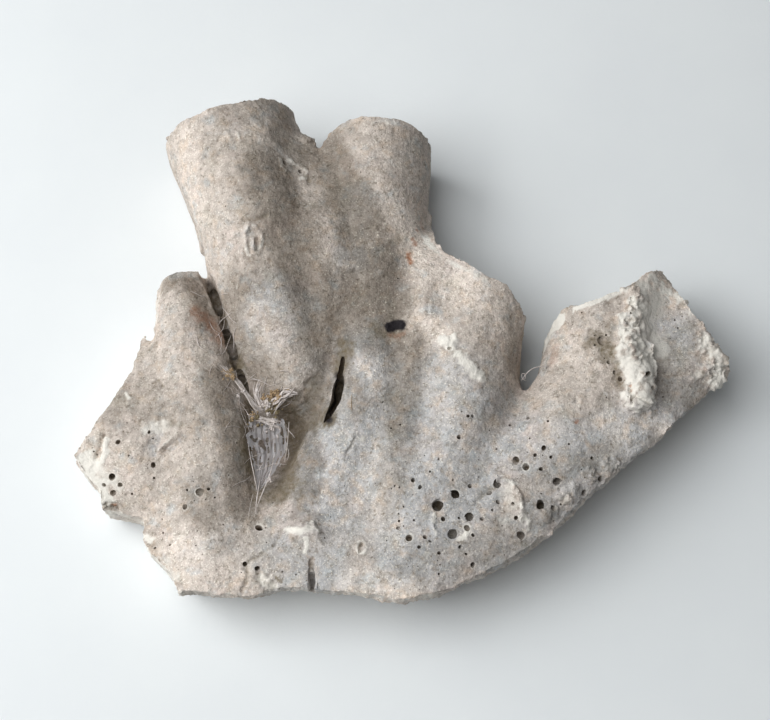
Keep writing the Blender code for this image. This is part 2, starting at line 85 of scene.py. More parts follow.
# How smoothly a tube follows its line: the curve's order, and its steps from one point to the next
TUBE_ORDER = 3
TUBE_STEPS = 5

# The uneven value: how strong its finer part is beside its coarser one, and how much finer it is
FINER_SHARE = 0.6
FINER_SCALE = 2.6

# How many steps a vertex group's weights are stored in
WEIGHT_STEPS = 20

# The least squared length of a stretch that is divided by it
LEAST_SQUARE = 1e-9

# Red, green and blue in linear light, and the numbers that a noise or a range takes
Colour = tuple[float, float, float]
Levels = tuple[float, ...]

log = logging.getLogger("coral")


class Tone(Enum):
    """What colours a place on a mesh. Each value is the name of a point attribute.

    FRESH is white broken coral, STAIN is brown, RUST is red-brown, SOOT_AND_SHADE is black, for a black spot
    and as painted shade in the crevices, COOL is greyer skin, BORE is the wall of a hole, darkened with
    depth as painted shade, GRIME_AND_SHADE is grime and painted shade in the valleys and on the right
    flanks, WORN_AND_LIT is paler skin, from wear and as painted light on the crests that face the light, and
    SALT is skin with white grains on it. On the web, COOL is the film.
    """

    FRESH = "fresh"
    STAIN = "stain"
    RUST = "rust"
    SOOT_AND_SHADE = "soot_and_shade"
    COOL = "cool"
    BORE = "bore"
    GRIME_AND_SHADE = "grime_and_shade"
    WORN_AND_LIT = "worn_and_lit"
    SALT = "salt"


@dataclass(frozen=True)
class PhotoCamera:
    """The camera that took the photograph, in the coral's own frame.

    Attributes:
        target: The point that shows at the middle of the photograph.
        elevation: Degrees above the horizon.
        distance: From the target to the lens.
        view_angle: The width of the view, in degrees.
    """

    target: tuple[float, float, float] = (-2.854, -1.104, 8.0)
    elevation: float = 70.0
    distance: float = 300.0
    view_angle: float = 21.2

    def axes(self) -> tuple[Vector, Vector, Vector]:
        """Returns the directions to the right, up the picture and into it."""
        tilt = math.radians(self.elevation)
        up = Vector((0, math.sin(tilt), math.cos(tilt)))
        into = Vector((0, math.cos(tilt), -math.sin(tilt)))
        return Vector((1, 0, 0)), up, into

    def eye(self) -> Vector:
        """Returns the place of the lens, in millimetres."""
        return Vector(self.target) - self.axes()[2] * self.distance

    def direction(self, across: float, down: float) -> Vector:
        """Returns the way from the lens through a pixel of the photograph.

        Args:
            across: Pixels from the left edge.
            down: Pixels from the top edge.
        """
        right, up, into = self.axes()
        focal = PHOTO_WIDTH / 2 / math.tan(math.radians(self.view_angle / 2))
        side = right * ((across - PHOTO_WIDTH / 2) / focal)
        rise = up * ((PHOTO_HEIGHT / 2 - down) / focal)
        return (into + side + rise).normalized()

    def at_height(self, across: float, down: float, height: float) -> Vector:
        """Returns the point, in millimetres, that shows at a pixel and lies at a height.

        Args:
            across: Pixels from the left edge.
            down: Pixels from the top edge.
            height: Millimetres above the floor.
        """
        eye, way = self.eye(), self.direction(across, down)
        return eye + way * ((height - eye.z) / way.z)

    def make(self) -> bpy.types.Object:
        """Adds the camera to the scene and makes it the one that renders."""
        data = bpy.data.cameras.new("photo_camera")
        data.sensor_width = 36.0
        data.lens = data.sensor_width / 2 / math.tan(math.radians(self.view_angle / 2))
        data.clip_start = 0.01
        camera = bpy.data.objects.new("photo_camera", data)
        bpy.context.scene.collection.objects.link(camera)
        camera.location = self.eye() * MM
        camera.rotation_euler = (math.radians(90 - self.elevation), 0, 0)
        bpy.context.scene.camera = camera
        return camera


PHOTO = PhotoCamera()


def deselect_all() -> None:
    """Leaves nothing selected, so that an operator acts only on what is picked next."""
    for obj in bpy.context.view_layer.objects:
        obj.select_set(False)


def pick(*objects: bpy.types.Object) -> bpy.types.Object:
    """Selects these objects alone and makes the first one active.

    Args:
        objects: What is selected.

    Returns:
        The first of them.
    """
    deselect_all()
    for obj in objects:
        obj.select_set(True)
    bpy.context.view_layer.objects.active = objects[0]
    return objects[0]


def finish_with(obj: bpy.types.Object, kind: str, **settings: object) -> None:
    """Adds one modifier to an object and applies it.

    Args:
        obj: The object that is changed.
        kind: The modifier's type, as Blender names it.
        settings: The modifier's own settings.
    """
    pick(obj)
    modifier = obj.modifiers.new(kind.lower(), kind)
    for name, value in settings.items():
        setattr(modifier, name, value)
    bpy.ops.object.modifier_apply(modifier=modifier.name)


def edit(obj: bpy.types.Object) -> None:
    """Opens an object in edit mode with all of its mesh selected."""
    pick(obj)
    bpy.ops.object.mode_set(mode="EDIT")
    bpy.ops.mesh.select_all(action="SELECT")


def leave_edit() -> None:
    """Goes back to object mode."""
    bpy.ops.object.mode_set(mode="OBJECT")


def points_of(obj: bpy.types.Object) -> np.ndarray:
    """Returns a mesh's points in millimetres, one row each."""
    found = np.empty(len(obj.data.vertices) * 3, np.float32)
    obj.data.vertices.foreach_get("co", found)
    return found.reshape(-1, 3).astype(float) / MM


def move_points(obj: bpy.types.Object, points: np.ndarray) -> None:
    """Puts a mesh's points at new places, given in millimetres."""
    obj.data.vertices.foreach_set("co", (points * MM).astype(np.float32).ravel())
    obj.data.update()


def normals_of(obj: bpy.types.Object) -> np.ndarray:
    """Returns the direction that each point of a mesh faces, one row each."""
    found = np.empty(len(obj.data.vertices) * 3, np.float32)
    obj.data.vertex_normals.foreach_get("vector", found)
    return found.reshape(-1, 3).astype(float)


def soft_step(values: np.ndarray, low: float, high: float) -> np.ndarray:
    """Returns 0 below low, 1 above high and a soft rise between them."""
    share = np.clip((values - low) / (high - low), 0, 1)
    return share * share * (3 - 2 * share)


def distance_to_path(points: np.ndarray, path: list[Vector], reach: float) -> np.ndarray:
    """Measures how far each point is from a path of straight stretches.

    Args:
        points: Points in millimetres, one row each.
        path: The path's own points, in millimetres. One point alone is a spot.
        reach: How far from the path matters. Beyond it the answer may be endless.

    Returns:
        The distance of each point, in millimetres.
    """
    rows = np.array(path)
    close = np.all((points > rows.min(axis=0) - reach) & (points < rows.max(axis=0) + reach), axis=1)
    chosen = points[close]
    nearest = np.linalg.norm(chosen - rows[0], axis=1)
    for start, end in zip(rows, rows[1:]):
        along = end - start
        share = np.clip((chosen - start) @ along / max(along @ along, LEAST_SQUARE), 0, 1)
        nearest = np.minimum(nearest, np.linalg.norm(chosen - start - share[:, None] * along, axis=1))
    found = np.full(len(points), np.inf)
    found[close] = nearest
    return found


def lumpy(points: np.ndarray, size: float) -> np.ndarray:
    """Returns an uneven value, from about -1 to 1, at each point.

    Args:
        points: Points in millimetres, one row each.
        size: How many millimetres its lumps are across.
    """
    rows = [Vector(row) for row in points / size]
    return np.array([noise.noise(row) + FINER_SHARE * noise.noise(row * FINER_SCALE) for row in rows])


def points_along(line: np.ndarray, stops: np.ndarray, places: np.ndarray) -> np.ndarray:
    """Returns the points at some places along a line, one row each.

    Args:
        line: The line's own points, one row each.
        stops: How far along the line each of its own points is.
        places: How far along it the wanted points are.
    """
    return np.stack([np.interp(places, stops, line[:, axis]) for axis in range(3)], axis=1)


def triangles_of(obj: bpy.types.Object) -> int:
    """Returns how many triangles a mesh's faces come to."""
    return sum(len(face.vertices) - 2 for face in obj.data.polygons)


def nurbs_tube(
    line: list[Vector], radius: float, swell: Callable[[int], float], roundness: int
) -> bpy.types.Object:
    """Makes a closed tube along a smooth line.

    Args:
        line: The points that pull the line, in millimetres.
        radius: The tube's radius in millimetres.
        swell: Gives the share of the radius at each point.
        roundness: How finely its section is divided.

    Returns:
        The tube as a mesh object.
    """
    deselect_all()
    bpy.ops.curve.primitive_nurbs_path_add(location=(0, 0, 0))
    made = bpy.context.object
    made.data.splines.clear()
    spline = made.data.splines.new("NURBS")
    spline.points.add(len(line) - 1)
    spline.order_u = TUBE_ORDER
    spline.use_endpoint_u = True
    spline.resolution_u = TUBE_STEPS
    for index, (point, place) in enumerate(zip(spline.points, line)):
        point.co = (*(place * MM), 1.0)
        point.radius = swell(index)
    made.data.bevel_depth = radius * MM
    made.data.bevel_resolution = roundness
    made.data.use_fill_caps = True
    bpy.ops.object.convert(target="MESH")
    made = bpy.context.object
    edit(made)
    bpy.ops.mesh.remove_doubles(threshold=TUBE_MERGE * MM)
    leave_edit()
    return made


def texture(kind: str, name: str, **settings: object) -> bpy.types.Texture:
    """Makes a texture for a Displace modifier.

    Args:
        kind: The texture's type, as Blender names it.
        name: What the texture is called.
        settings: The texture's own settings.

    Returns:
        The texture.
    """
    made = bpy.data.textures.new(name, kind)
    for key, value in settings.items():
        setattr(made, key, value)
    return made


def group_from(obj: bpy.types.Object, name: str, weights: np.ndarray) -> None:
    """Stores weights from 0 to 1 as a vertex group, in even steps.

    Args:
        obj: The mesh object that gets the group.
        name: The group's name.
        weights: One weight for each vertex.
    """
    group = obj.vertex_groups.new(name=name)
    steps = np.round(weights * WEIGHT_STEPS).astype(int)
    for step in range(1, WEIGHT_STEPS + 1):
        chosen = np.flatnonzero(steps == step)
        if len(chosen):
            group.add(chosen.tolist(), step / WEIGHT_STEPS, "REPLACE")


def weigh(obj: bpy.types.Object, tone: Tone, values: np.ndarray) -> None:
    """Stores how strongly each point of a mesh has a tone."""
    found = obj.data.attributes.get(tone.value) or obj.data.attributes.new(tone.value, "FLOAT", "POINT")
    found.data.foreach_set("value", np.clip(values, 0, 1).astype(np.float32))


@dataclass(frozen=True)
class Break:
    """A rough face where the coral broke off.

    Attributes:
        away: The direction, in plan, of what broke off.
        line: The upper rim in plan, in millimetres.
        rim: The rim's height.
        lean: How far the face leans in for each millimetre below the rim.
        white: How fresh and white the face is, from 0 to 1.
        crumble: How rough the face is, from 0 to 1.
        reach: How far from the face its roughness and whiteness end.
        margin: How far past the rim's ends they still count.
    """

    away: tuple[float, float]
    line: tuple[tuple[float, float], ...]
    rim: float
    lean: float
    white: float
    crumble: float
    reach: float = 1.6
    margin: float = 1.0

    def nearness(self, points: np.ndarray) -> np.ndarray:
        """Returns 1 for points on the broken face, down to 0 for those beyond its reach."""
        away = np.array(self.away) / np.linalg.norm(self.away)
        side = np.array((-away[1], away[0]))
        rim = np.array(self.line)
        order = np.argsort(rim @ side)
        across = points[:, :2] @ side
        face = np.interp(across, (rim @ side)[order], (rim @ away)[order])
        face = face - self.lean * np.maximum(self.rim - points[:, 2], 0)
        inside = (across > (rim @ side).min() - self.margin) & (across < (rim @ side).max() + self.margin)
        offset = np.abs(points[:, :2] @ away - face)
        return inside * (1 - soft_step(offset, self.reach / 2, self.reach))


@dataclass(frozen=True)
class Mark:
    """A scar, crest, crack or stain on the skin, or a patch of painted light or painted shade.

    Attributes:
        path: The mark's line in the photograph, as (across, down) in pixels. One point is a spot.
        width: Half its width in millimetres, where it fades out.
        rise: How far it stands up, or sinks in if it is below 0, in millimetres.
        tone: What colours it.
        strength: How strong that tone is at its middle. Above 1 it stays full further out.
        limit: How many widths from its line the mark is looked for.
        broad: A mark at least this wide fades evenly, and a narrower one has a ragged edge.
        ragged: How far a ragged edge strays, as a share of the width.
        soot_and_shade_ragged: The same for black marks and painted shade, whose edge is clearer.
        scallop: The size of the edge's lumps: this much, and this share of the width.
        fading: Between these shares of the width the mark fades out.
    """

    path: tuple[tuple[float, float], ...]
    width: float
    rise: float = 0.0
    tone: Tone | None = None
    strength: float = 1.0
    limit: float = 1.7
    broad: float = 3.0
    ragged: float = 0.5
    soot_and_shade_ragged: float = 0.2
    scallop: tuple[float, float] = (0.4, 0.5)
    fading: tuple[float, float] = (0.3, 1.15)

    def nearness(self, points: np.ndarray, path: list[Vector]) -> np.ndarray:
        """Returns 1 for points at the mark's middle, and 0 for those beyond its ragged edge.

        Args:
            points: Points in millimetres, one row each.
            path: The mark's line on the skin.
        """
        reach = self.width * self.limit
        away = distance_to_path(points, path, reach)
        close = np.flatnonzero(away < reach)
        share = away[close] / self.width
        if self.width < self.broad:
            ragged = self.soot_and_shade_ragged if self.tone is Tone.SOOT_AND_SHADE else self.ragged
            share = share + ragged * lumpy(points[close], self.scallop[0] + self.width * self.scallop[1])
        found = np.zeros(len(points))
        found[close] = 1 - soft_step(share, *self.fading)
        return found


@dataclass(frozen=True)
class Boring:
    """A round hole that a sponge bored.

    Attributes:
        across: Its place in the photograph, in pixels from the left.
        down: Its place in the photograph, in pixels from the top.
        radius: Its radius in millimetres.
        depth: Its depth in millimetres, or nothing for a hole as deep as the rule gives.
    """

    across: float
    down: float
    radius: float
    depth: float | None = None


@dataclass(frozen=True)
class Groove:
    """A narrow open crevice.

    Attributes:
        path: Its line in the photograph, as (across, down) in pixels.
        radius: Half its greatest width in millimetres.
        deep: Its depth in millimetres.
        lip: How far from its line its lips are found, in pixels.
        proud: How far its cutter stands above its lips.
        end: How wide it is at its ends, as a share of its width.
        roundness: How finely its cutter's section is divided.
        samples: How many points stand for its line.
        wobble: How far its walls stray.
        wave: How long the walls' waves are.
        apart: How far away the noise is read for the second direction of the wobble.
        wall: How many radii from its line its walls can lie.
        soot_and_shade: How black its walls turn with depth below the skin, as painted shade.
    """

    path: tuple[tuple[float, float], ...]
    radius: float
    deep: float
    lip: float = 9.0
    proud: float = 2.5
    end: float = 0.4
    roundness: int = 6
    samples: int = 60
    wobble: float = 0.2
    wave: float = 1.1
    apart: float = 50.0
    wall: float = 4.0
    soot_and_shade: float = 0.5


@dataclass(frozen=True)
class Strand:
    """A strand of the web, or a stray hair.

    Attributes:
        path: Its line, as (across, down, height): pixels of the photograph, and millimetres above the floor.
        thickness: Its radius in millimetres.
        tone: What colours it, or nothing for plain pale silk.
    """

    path: tuple[tuple[float, float, float], ...]
    thickness: float
    tone: Tone | None = None


@dataclass(frozen=True)
class Fork:
    """A cut at a fork: the node it takes off, and the lines in plan that have the node on their left."""

    node: str
    lines: tuple[tuple[tuple[float, float], tuple[float, float]], ...]


@dataclass(frozen=True)
class Relief:
    """One layer of unevenness on the skin.

    Attributes:
        name: What the layer is called.
        size: How far its lumps are across.
        height: How far it goes from its lowest to its highest.
        group: The vertex group that it keeps to, or nothing for the whole skin.
    """

    name: str
    size: float
    height: float
    group: str = ""


RELIEFS = (
    Relief("undulation", 1.5, 0.2),
    Relief("lumps", 0.7, 0.13),
    Relief("grain", 0.34, 0.075),
    Relief("chips", 1.3, 0.8, "broken"),
    Relief("splinters", 0.5, 0.36, "broken"),
)

# The tips of the tall and the middle branch, the top of the short and the right branch, the right
# branch's end, its lower edge, the foot, the left edge and the spur
BREAKS = (
    Break(
        (0.15, 0.99),
        ((-13.8, 31.5), (-16.6, 38.1), (-26.6, 35.3), (-36.4, 32.3)),
        rim=9.0, lean=0.0, white=0.12, crumble=0.6,
    ),
    Break(
        (0.0, 1.0),
        ((8.6, 31.9), (4.2, 32.7), (-4.0, 33.8), (-8.6, 34.2), (-11.3, 33.3), (-13.2, 29.1)),
        rim=9.0, lean=0.0, white=0.25, crumble=0.6,
    ),
    Break(
        (0.0, 1.0),
        (
            (37.5, 12.1), (35.5, 10.8), (31.5, 7.7), (26.9, 5.6), (23.0, 5.4), (21.0, 3.7),
            (19.8, 0.9), (18.5, 0.9), (17.7, 4.3), (16.7, 6.1), (14.5, 8.1), (10.2, 10.6),
            (5.9, 13.5), (4.8, 15.3), (4.2, 17.9),
        ),
        rim=12.0, lean=0.1, white=0.45, crumble=0.8,
    ),
    Break(
        (1.0, 0.0),
        ((43.2, -9.1), (45.0, -6.3), (47.0, -3.5), (46.3, -1.1), (44.4, 1.0), (41.0, 6.7), (38.0, 12.1)),
        rim=10.0, lean=0.1, white=0.75, crumble=1.0,
    ),
    Break(
        (0.6, -0.8),
        (
            (3.6, -37.1), (7.6, -35.5), (13.4, -32.6), (20.0, -28.3), (26.4, -21.9), (31.5, -17.3),
            (35.6, -14.8), (39.4, -10.4), (43.8, -6.5), (48.2, -3.7),
        ),
        rim=9.0, lean=0.45, white=0.3, crumble=1.0,
    ),
    Break(
        (0.0, -1.0),
        (
            (-30.8, -36.7), (-21.7, -37.2), (-16.8, -35.9), (-10.6, -36.6), (-5.7, -36.9),
            (-0.8, -37.9), (3.6, -37.1),
        ),
        rim=10.0, lean=0.4, white=0.4, crumble=1.0,
    ),
    Break(
        (-1.0, 0.0),
        (
            (-36.6, 7.1), (-36.4, 2.9), (-38.2, 1.7), (-38.8, -2.1), (-42.4, -9.3), (-47.1, -16.5),
            (-43.3, -21.4), (-43.3, -23.5), (-37.0, -25.2), (-36.8, -28.4), (-33.0, -33.3),
            (-31.4, -37.0),
        ),
        rim=6.5, lean=0.2, white=0.6, crumble=0.8,
    ),
    Break(
        (-0.1, 1.0),
        ((-29.2, 11.9), (-32.8, 10.9), (-36.2, 9.9)),
        rim=8.0, lean=0.0, white=0.15, crumble=0.5,
    ),
)

FORKS = (
    Fork("right_branch", (((17.35, -6.1), (12.15, -32.6)),)),
    Fork("base", (((17.35, -6.1), (-37.15, -25.5)),)),
    Fork("left_branch", (((-23.95, -3.0), (-30.95, 13.9)),)),
    Fork("tall_branch", (((-13.85, -16.6), (-9.15, -4.7)), ((-9.15, -4.7), (-13.05, 30.9)))),
    Fork("middle_branch", (((0.05, -13.4), (4.05, 19.1)),)),
)
LAST_NODE = "short_branch"

# The crevice on the left and the slot in the middle
GROOVES = (
    Groove(((208, 282), (212, 291), (218, 303), (224, 320), (229, 340), (233, 358), (238, 377)), 0.5, 1.8),
    Groove(((343, 358), (341, 370), (339, 384), (335, 400), (330, 416), (325, 427)), 0.5, 1.6),
)

# Holes on the foot and the right branch, then on the left lobe, then the few higher up
BORINGS = (
    Boring(455, 494, 0.73, 3.0),
    Boring(438, 505, 1.0, 0.9),
    Boring(443, 519, 0.37),
    Boring(469, 517, 0.70, 1.0),
    Boring(467, 528, 0.52, 0.8),
    Boring(459, 518, 0.22),
    Boring(453, 534, 0.85, 0.8),
    Boring(473, 535, 0.30),
    Boring(460, 547, 0.30),
    Boring(409, 538, 0.55, 1.2),
    Boring(425, 537, 0.34),
    Boring(430, 541, 0.26),
    Boring(419, 547, 0.30),
    Boring(439, 553, 0.30),
    Boring(466, 554, 0.22),
    Boring(473, 565, 0.42, 1.6),
    Boring(439, 574, 0.22),
    Boring(413, 480, 0.36),
    Boring(420, 487, 0.34),
    Boring(470, 486, 0.36),
    Boring(482, 519, 0.34),
    Boring(489, 493, 0.42),
    Boring(497, 484, 0.66, 1.0),
    Boring(498, 502, 0.36),
    Boring(513, 504, 0.30),
    Boring(516, 518, 0.34),
    Boring(521, 535, 0.66, 1.0),
    Boring(414, 520, 0.22),
    Boring(399, 521, 0.22),
    Boring(398, 528, 0.34, 0.6),
    Boring(459, 437, 0.36),
    Boring(468, 416, 0.27),
    Boring(472.5, 416, 0.27),
    Boring(516, 460, 0.56, 1.1),
    Boring(526, 467, 0.56, 1.1),
    Boring(535, 455, 0.30),
    Boring(544, 448, 0.42),
    Boring(551, 457, 0.28),
    Boring(541, 469, 0.34),
    Boring(557, 481, 0.70, 1.3),
    Boring(569, 444, 0.22),
    Boring(592, 458, 0.28),
    Boring(600, 479, 0.42),
    Boring(584, 493, 0.48),
    Boring(540, 506, 0.72, 2.2),
    Boring(553, 508, 0.40),
    Boring(528, 418, 0.34, 0.6),
    Boring(548, 421, 0.22),
    Boring(510, 425, 0.28),
    Boring(438.6, 459, 0.20),
    Boring(430, 471.5, 0.20),
    Boring(453, 480, 0.20),
    Boring(383, 402, 0.18),
    Boring(492.5, 510, 0.24),
    Boring(112, 477, 0.55),
    Boring(113, 493, 0.52, 0.9),
    Boring(120, 485, 0.42, 0.8),
    Boring(104, 485, 0.34, 0.6),
    Boring(153, 465, 0.42, 1.4),
    Boring(118, 442, 0.40, 0.9),
    Boring(149, 432, 0.28),
    Boring(185, 507, 0.42),
    Boring(200, 492, 0.66, 0.55),
    Boring(208.5, 489, 0.28),
    Boring(187, 490, 0.22),
    Boring(154, 478, 0.22),
    Boring(132, 494, 0.22),
    Boring(163, 533, 0.22),
    Boring(155, 548, 0.24),
    Boring(170, 545, 0.2),
    Boring(259, 528, 0.52, 1.8),
    Boring(257.5, 568.5, 0.42),
    Boring(245, 564, 0.4),
    Boring(631, 313, 0.22),
    Boring(648.5, 374, 0.52, 1.4),
    Boring(653, 388, 0.42),
    Boring(608.6, 362.5, 0.36, 0.7),
    Boring(614.5, 372.5, 0.34),
    Boring(620, 379, 0.42, 0.8),
    Boring(633, 397, 0.42, 0.8),
    Boring(547, 367, 0.38),
    Boring(600, 338, 0.22),
    Boring(606, 335, 0.2),
    Boring(595, 345, 0.22),
    Boring(675, 320, 0.2),
    Boring(678, 328, 0.2),
    Boring(285, 163, 0.46, 1.2),
    Boring(300.5, 171.5, 0.42, 1.3),
    Boring(449.5, 348.3, 0.36, 0.5),
)


def ring(across: float, down: float, radius: float, sides: int = 10) -> tuple[tuple[float, float], ...]:
    """Returns a closed round path in the photograph, all in pixels."""
    turns = [math.tau * k / sides for k in range(sides + 1)]
    return tuple((across + radius * math.cos(turn), down + radius * math.sin(turn)) for turn in turns)


def shades(tone: Tone, *rows: tuple[tuple[tuple[float, float], ...], float, float]) -> tuple[Mark, ...]:
    """Returns marks of one tone that neither rise nor sink.

    Args:
        tone: What colours them.
        rows: The path, the width and the strength of each.
    """
    return tuple(Mark(path, width, 0.0, tone, strength) for path, width, strength in rows)


# Short names of tones for the tables
FRESH, STAIN, RUST, SOOT_AND_SHADE = Tone.FRESH, Tone.STAIN, Tone.RUST, Tone.SOOT_AND_SHADE

# Scars and crests of the tall branch
TALL_MARKS = (
    Mark(((289, 160), (293, 163), (297, 165)), 0.5, 0.22, FRESH, 0.6),
    Mark(((303, 167), (307, 172), (305, 178), (300, 179)), 0.42, 0.22, FRESH, 0.5),
    Mark(((280, 159), (281, 166), (285, 170)), 0.4, 0.14, FRESH, 0.4),
    Mark(((306, 177), (309, 181)), 0.5, -0.14, STAIN, 0.7),
    Mark(
        (
            *((248, 223), (255, 226), (261, 234), (262, 243), (258, 254)),
            *((249, 256), (246, 247), (245, 236), (248, 225)),
        ),
        0.38,
        0.2,
        FRESH,
        0.55,
    ),
    Mark(((254, 239), (253, 246), (252, 254)), 0.3, 0.18, FRESH, 0.5),
    Mark(((257.5, 239), (257, 250)), 0.34, -0.28, STAIN, 0.5),
    Mark(((250, 232), (249, 247)), 0.34, -0.16, STAIN, 0.2),
    Mark(((244, 219.5), (255, 220), (267, 215)), 0.32, -0.14, STAIN, 0.5),
    Mark(ring(232, 284, 6), 0.3, 0.08, FRESH, 0.25),
    Mark(((226, 132), (231, 140)), 0.32, 0.14, FRESH, 0.3),
    Mark(((237, 132), (240, 141)), 0.34, 0.16, FRESH, 0.4),
    Mark(((306, 140),), 0.7, 0.5, STAIN, 0.6),
)

# Stains in the hollow, the crevice and the slot, and black painted shade along the crevice and the slot
HOLLOW_MARKS = (
    Mark(((207, 276), (213, 293), (220, 313), (229, 337), (236, 363), (246, 390)), 1.5, -0.3, STAIN, 0.85),
    # Painted shade: black along the deep crevice
    Mark(((208, 280), (213, 293), (220, 313), (228, 335), (235, 358), (243, 378)), 0.7, 0, SOOT_AND_SHADE, 0.4),
    Mark(((196, 312), (208, 322), (220, 340)), 1.5, 0, RUST, 0.4),
    Mark(((250, 402), (247, 420), (246, 445), (250, 470)), 1.6, 0, STAIN, 0.9),
    Mark(((284, 402), (293, 425), (294, 455), (286, 480)), 2.5, 0, STAIN, 0.75),
    Mark(((262, 494), (280, 492), (292, 486)), 2.2, 0, STAIN, 0.75),
    Mark(((302, 420), (318, 425), (330, 412)), 1.6, 0, STAIN, 0.5),
    Mark(((346, 346), (342, 366), (339, 384), (336, 402), (327, 422)), 1.7, 0, STAIN, 0.8),
    Mark(((314, 384), (310, 404), (312, 420)), 1.8, -0.2, STAIN, 0.45),
    # Painted shade: black down the slot
    Mark(((340, 376), (335, 402), (329, 420)), 0.9, 0, SOOT_AND_SHADE, 0.9),
)

# Spots and scars of the middle and the short branch
MIDDLE_MARKS = (
    Mark(((390, 327), (395, 325.5), (400, 325)), 0.95, 0.16, SOOT_AND_SHADE, 2.4),
    Mark(((376, 328), (386, 333), (398, 331)), 1.2, 0, STAIN, 0.5),
    Mark(((390, 335), (397, 337), (404, 333)), 0.5, 0, RUST, 0.3),
    Mark(((417, 231),), 0.4, 0, RUST, 0.8),
    Mark(((413, 240), (415, 245)), 0.45, 0, RUST, 0.7),
    Mark(((408, 255), (411, 263)), 0.5, 0, RUST, 0.9),
    Mark(((421, 224), (424, 233)), 0.7, 0, RUST, 0.3),
    Mark(((424, 234), (427, 241), (431, 247)), 0.8, 0, FRESH, 0.9),
    Mark(((434, 250), (450, 262), (468, 271), (486, 281)), 0.5, 0, FRESH, 0.5),
    Mark(((444, 340), (451, 341), (450, 346)), 1.3, 0.2, FRESH, 0.85),
    Mark(((457, 354), (464, 360), (471, 367), (479, 375)), 1.1, 0.1, FRESH, 0.85),
    Mark(((473, 366), (482, 379)), 0.7, 0.1, FRESH, 0.6),
    Mark(((356, 437), (352, 445), (347, 452)), 0.34, -0.2, STAIN, 0.4),
    Mark(((363, 439),), 0.6, 0.12, FRESH, 0.6),
    Mark(((372, 123), (384, 121), (396, 124)), 0.7, 0, FRESH, 0.5),
)

# Shell-like arc, scars and chips of the foot
FOOT_MARKS = (
    Mark(
        ((496, 481), (504, 480), (511, 483), (517, 490), (520.5, 498), (522, 512), (521, 520)),
        0.42,
        0.34,
        FRESH,
        0.9,
    ),
    Mark(((524, 516), (528, 521), (528, 530)), 0.45, 0.2, FRESH, 0.7),
    Mark(((504, 490), (511, 504), (509, 520)), 1.7, -0.1, FRESH, 0.45),
    Mark(((476, 502), (484, 494), (492, 488)), 0.34, -0.2, STAIN, 0.5),
    Mark(((434, 514), (433, 524), (436, 535)), 0.42, 0.2, FRESH, 0.6),
    Mark(((447, 510), (450, 506)), 0.4, 0.1, FRESH, 0.6),
    Mark(((460, 539), (467, 534)), 0.6, 0.12, FRESH, 0.8),
    Mark(ring(361.5, 547.5, 5.5), 0.42, 0.16, FRESH, 0.6),
    Mark(((361.5, 544), (360, 552)), 0.3, -0.5, STAIN, 0.9),
    Mark(((262, 577), (270, 583), (280, 592)), 1.3, -0.5, FRESH, 0.6),
    Mark(((264, 580), (272, 588), (282, 596)), 0.6, 0, STAIN, 0.6),
    Mark(((288, 530), (300, 532), (310, 528)), 0.8, 0, FRESH, 0.8),
    Mark(((257, 573), (268, 574), (281, 581)), 0.34, 0, STAIN, 0.8),
    Mark(((312, 560), (311, 572), (313, 590)), 0.5, -0.4, STAIN, 0.6),
    Mark(((282, 531), (278, 538), (274, 546), (263, 553), (248, 562)), 0.3, -0.2, STAIN, 0.5),
    Mark(((246, 566), (248, 578), (243, 590)), 0.36, -0.25, STAIN, 0.6),
    Mark(((284, 530), (296, 528), (306, 524), (312, 523), (318, 531)), 0.42, 0.3, FRESH, 0.8),
    Mark(((306, 538), (307, 545), (305, 552)), 0.4, 0.12, FRESH, 1.0),
    Mark(((226, 596), (250, 600), (275, 598)), 0.9, 0, FRESH, 0.5),
    Mark(((340, 594), (370, 600), (400, 604)), 0.7, 0, FRESH, 0.4),
)

# Eroded edge and patches of the left lobe
LEFT_MARKS = (
    Mark(((154, 427), (158, 436), (152, 447)), 1.5, -0.25, Tone.COOL, 0.8),
    Mark(((150, 428), (160, 431), (176, 427)), 1.5, 0, FRESH, 0.55),
    Mark(((176, 442), (166, 450)), 0.5, 0, STAIN, 0.5),
    Mark(((184, 436), (175, 444), (165, 451)), 0.8, -0.4, Tone.COOL, 0.8),
    Mark(((177, 433), (168, 441), (159, 449)), 0.34, 0.12, FRESH, 0.6),
    Mark(((172, 424), (182, 425)), 0.6, -0.14, STAIN, 0.5),
    Mark(((154, 383), (158, 380), (163, 386)), 0.3, -0.2, STAIN, 0.6),
    Mark(((126, 392), (129, 399)), 0.34, 0.14, FRESH, 0.5),
    Mark(((103, 436), (100, 448), (96, 459)), 0.34, -0.4, STAIN, 0.5),
    Mark(((105, 440), (106, 452), (101, 464)), 0.6, 0.15, FRESH, 0.9),
    Mark(((84, 460), (84, 480), (94, 492), (104, 500)), 2.0, -0.1, FRESH, 1.0),
    Mark(((100, 470), (118, 482)), 1.8, 0, FRESH, 0.6),
    Mark(((104, 508), (113, 509)), 1.0, -0.5, STAIN, 0.7),
    Mark(((115, 506),), 0.6, 0, RUST, 0.6),
    Mark(((108, 518), (126, 521), (142, 528), (150, 540)), 0.9, 0, FRESH, 0.7),
    Mark(((148, 340), (154, 346)), 1.0, 0, STAIN, 0.45),
    Mark(((134, 346), (120, 372), (106, 398)), 0.6, 0, FRESH, 0.6),
    Mark(((168, 560), (178, 580), (188, 596)), 0.8, 0, FRESH, 0.5),
)
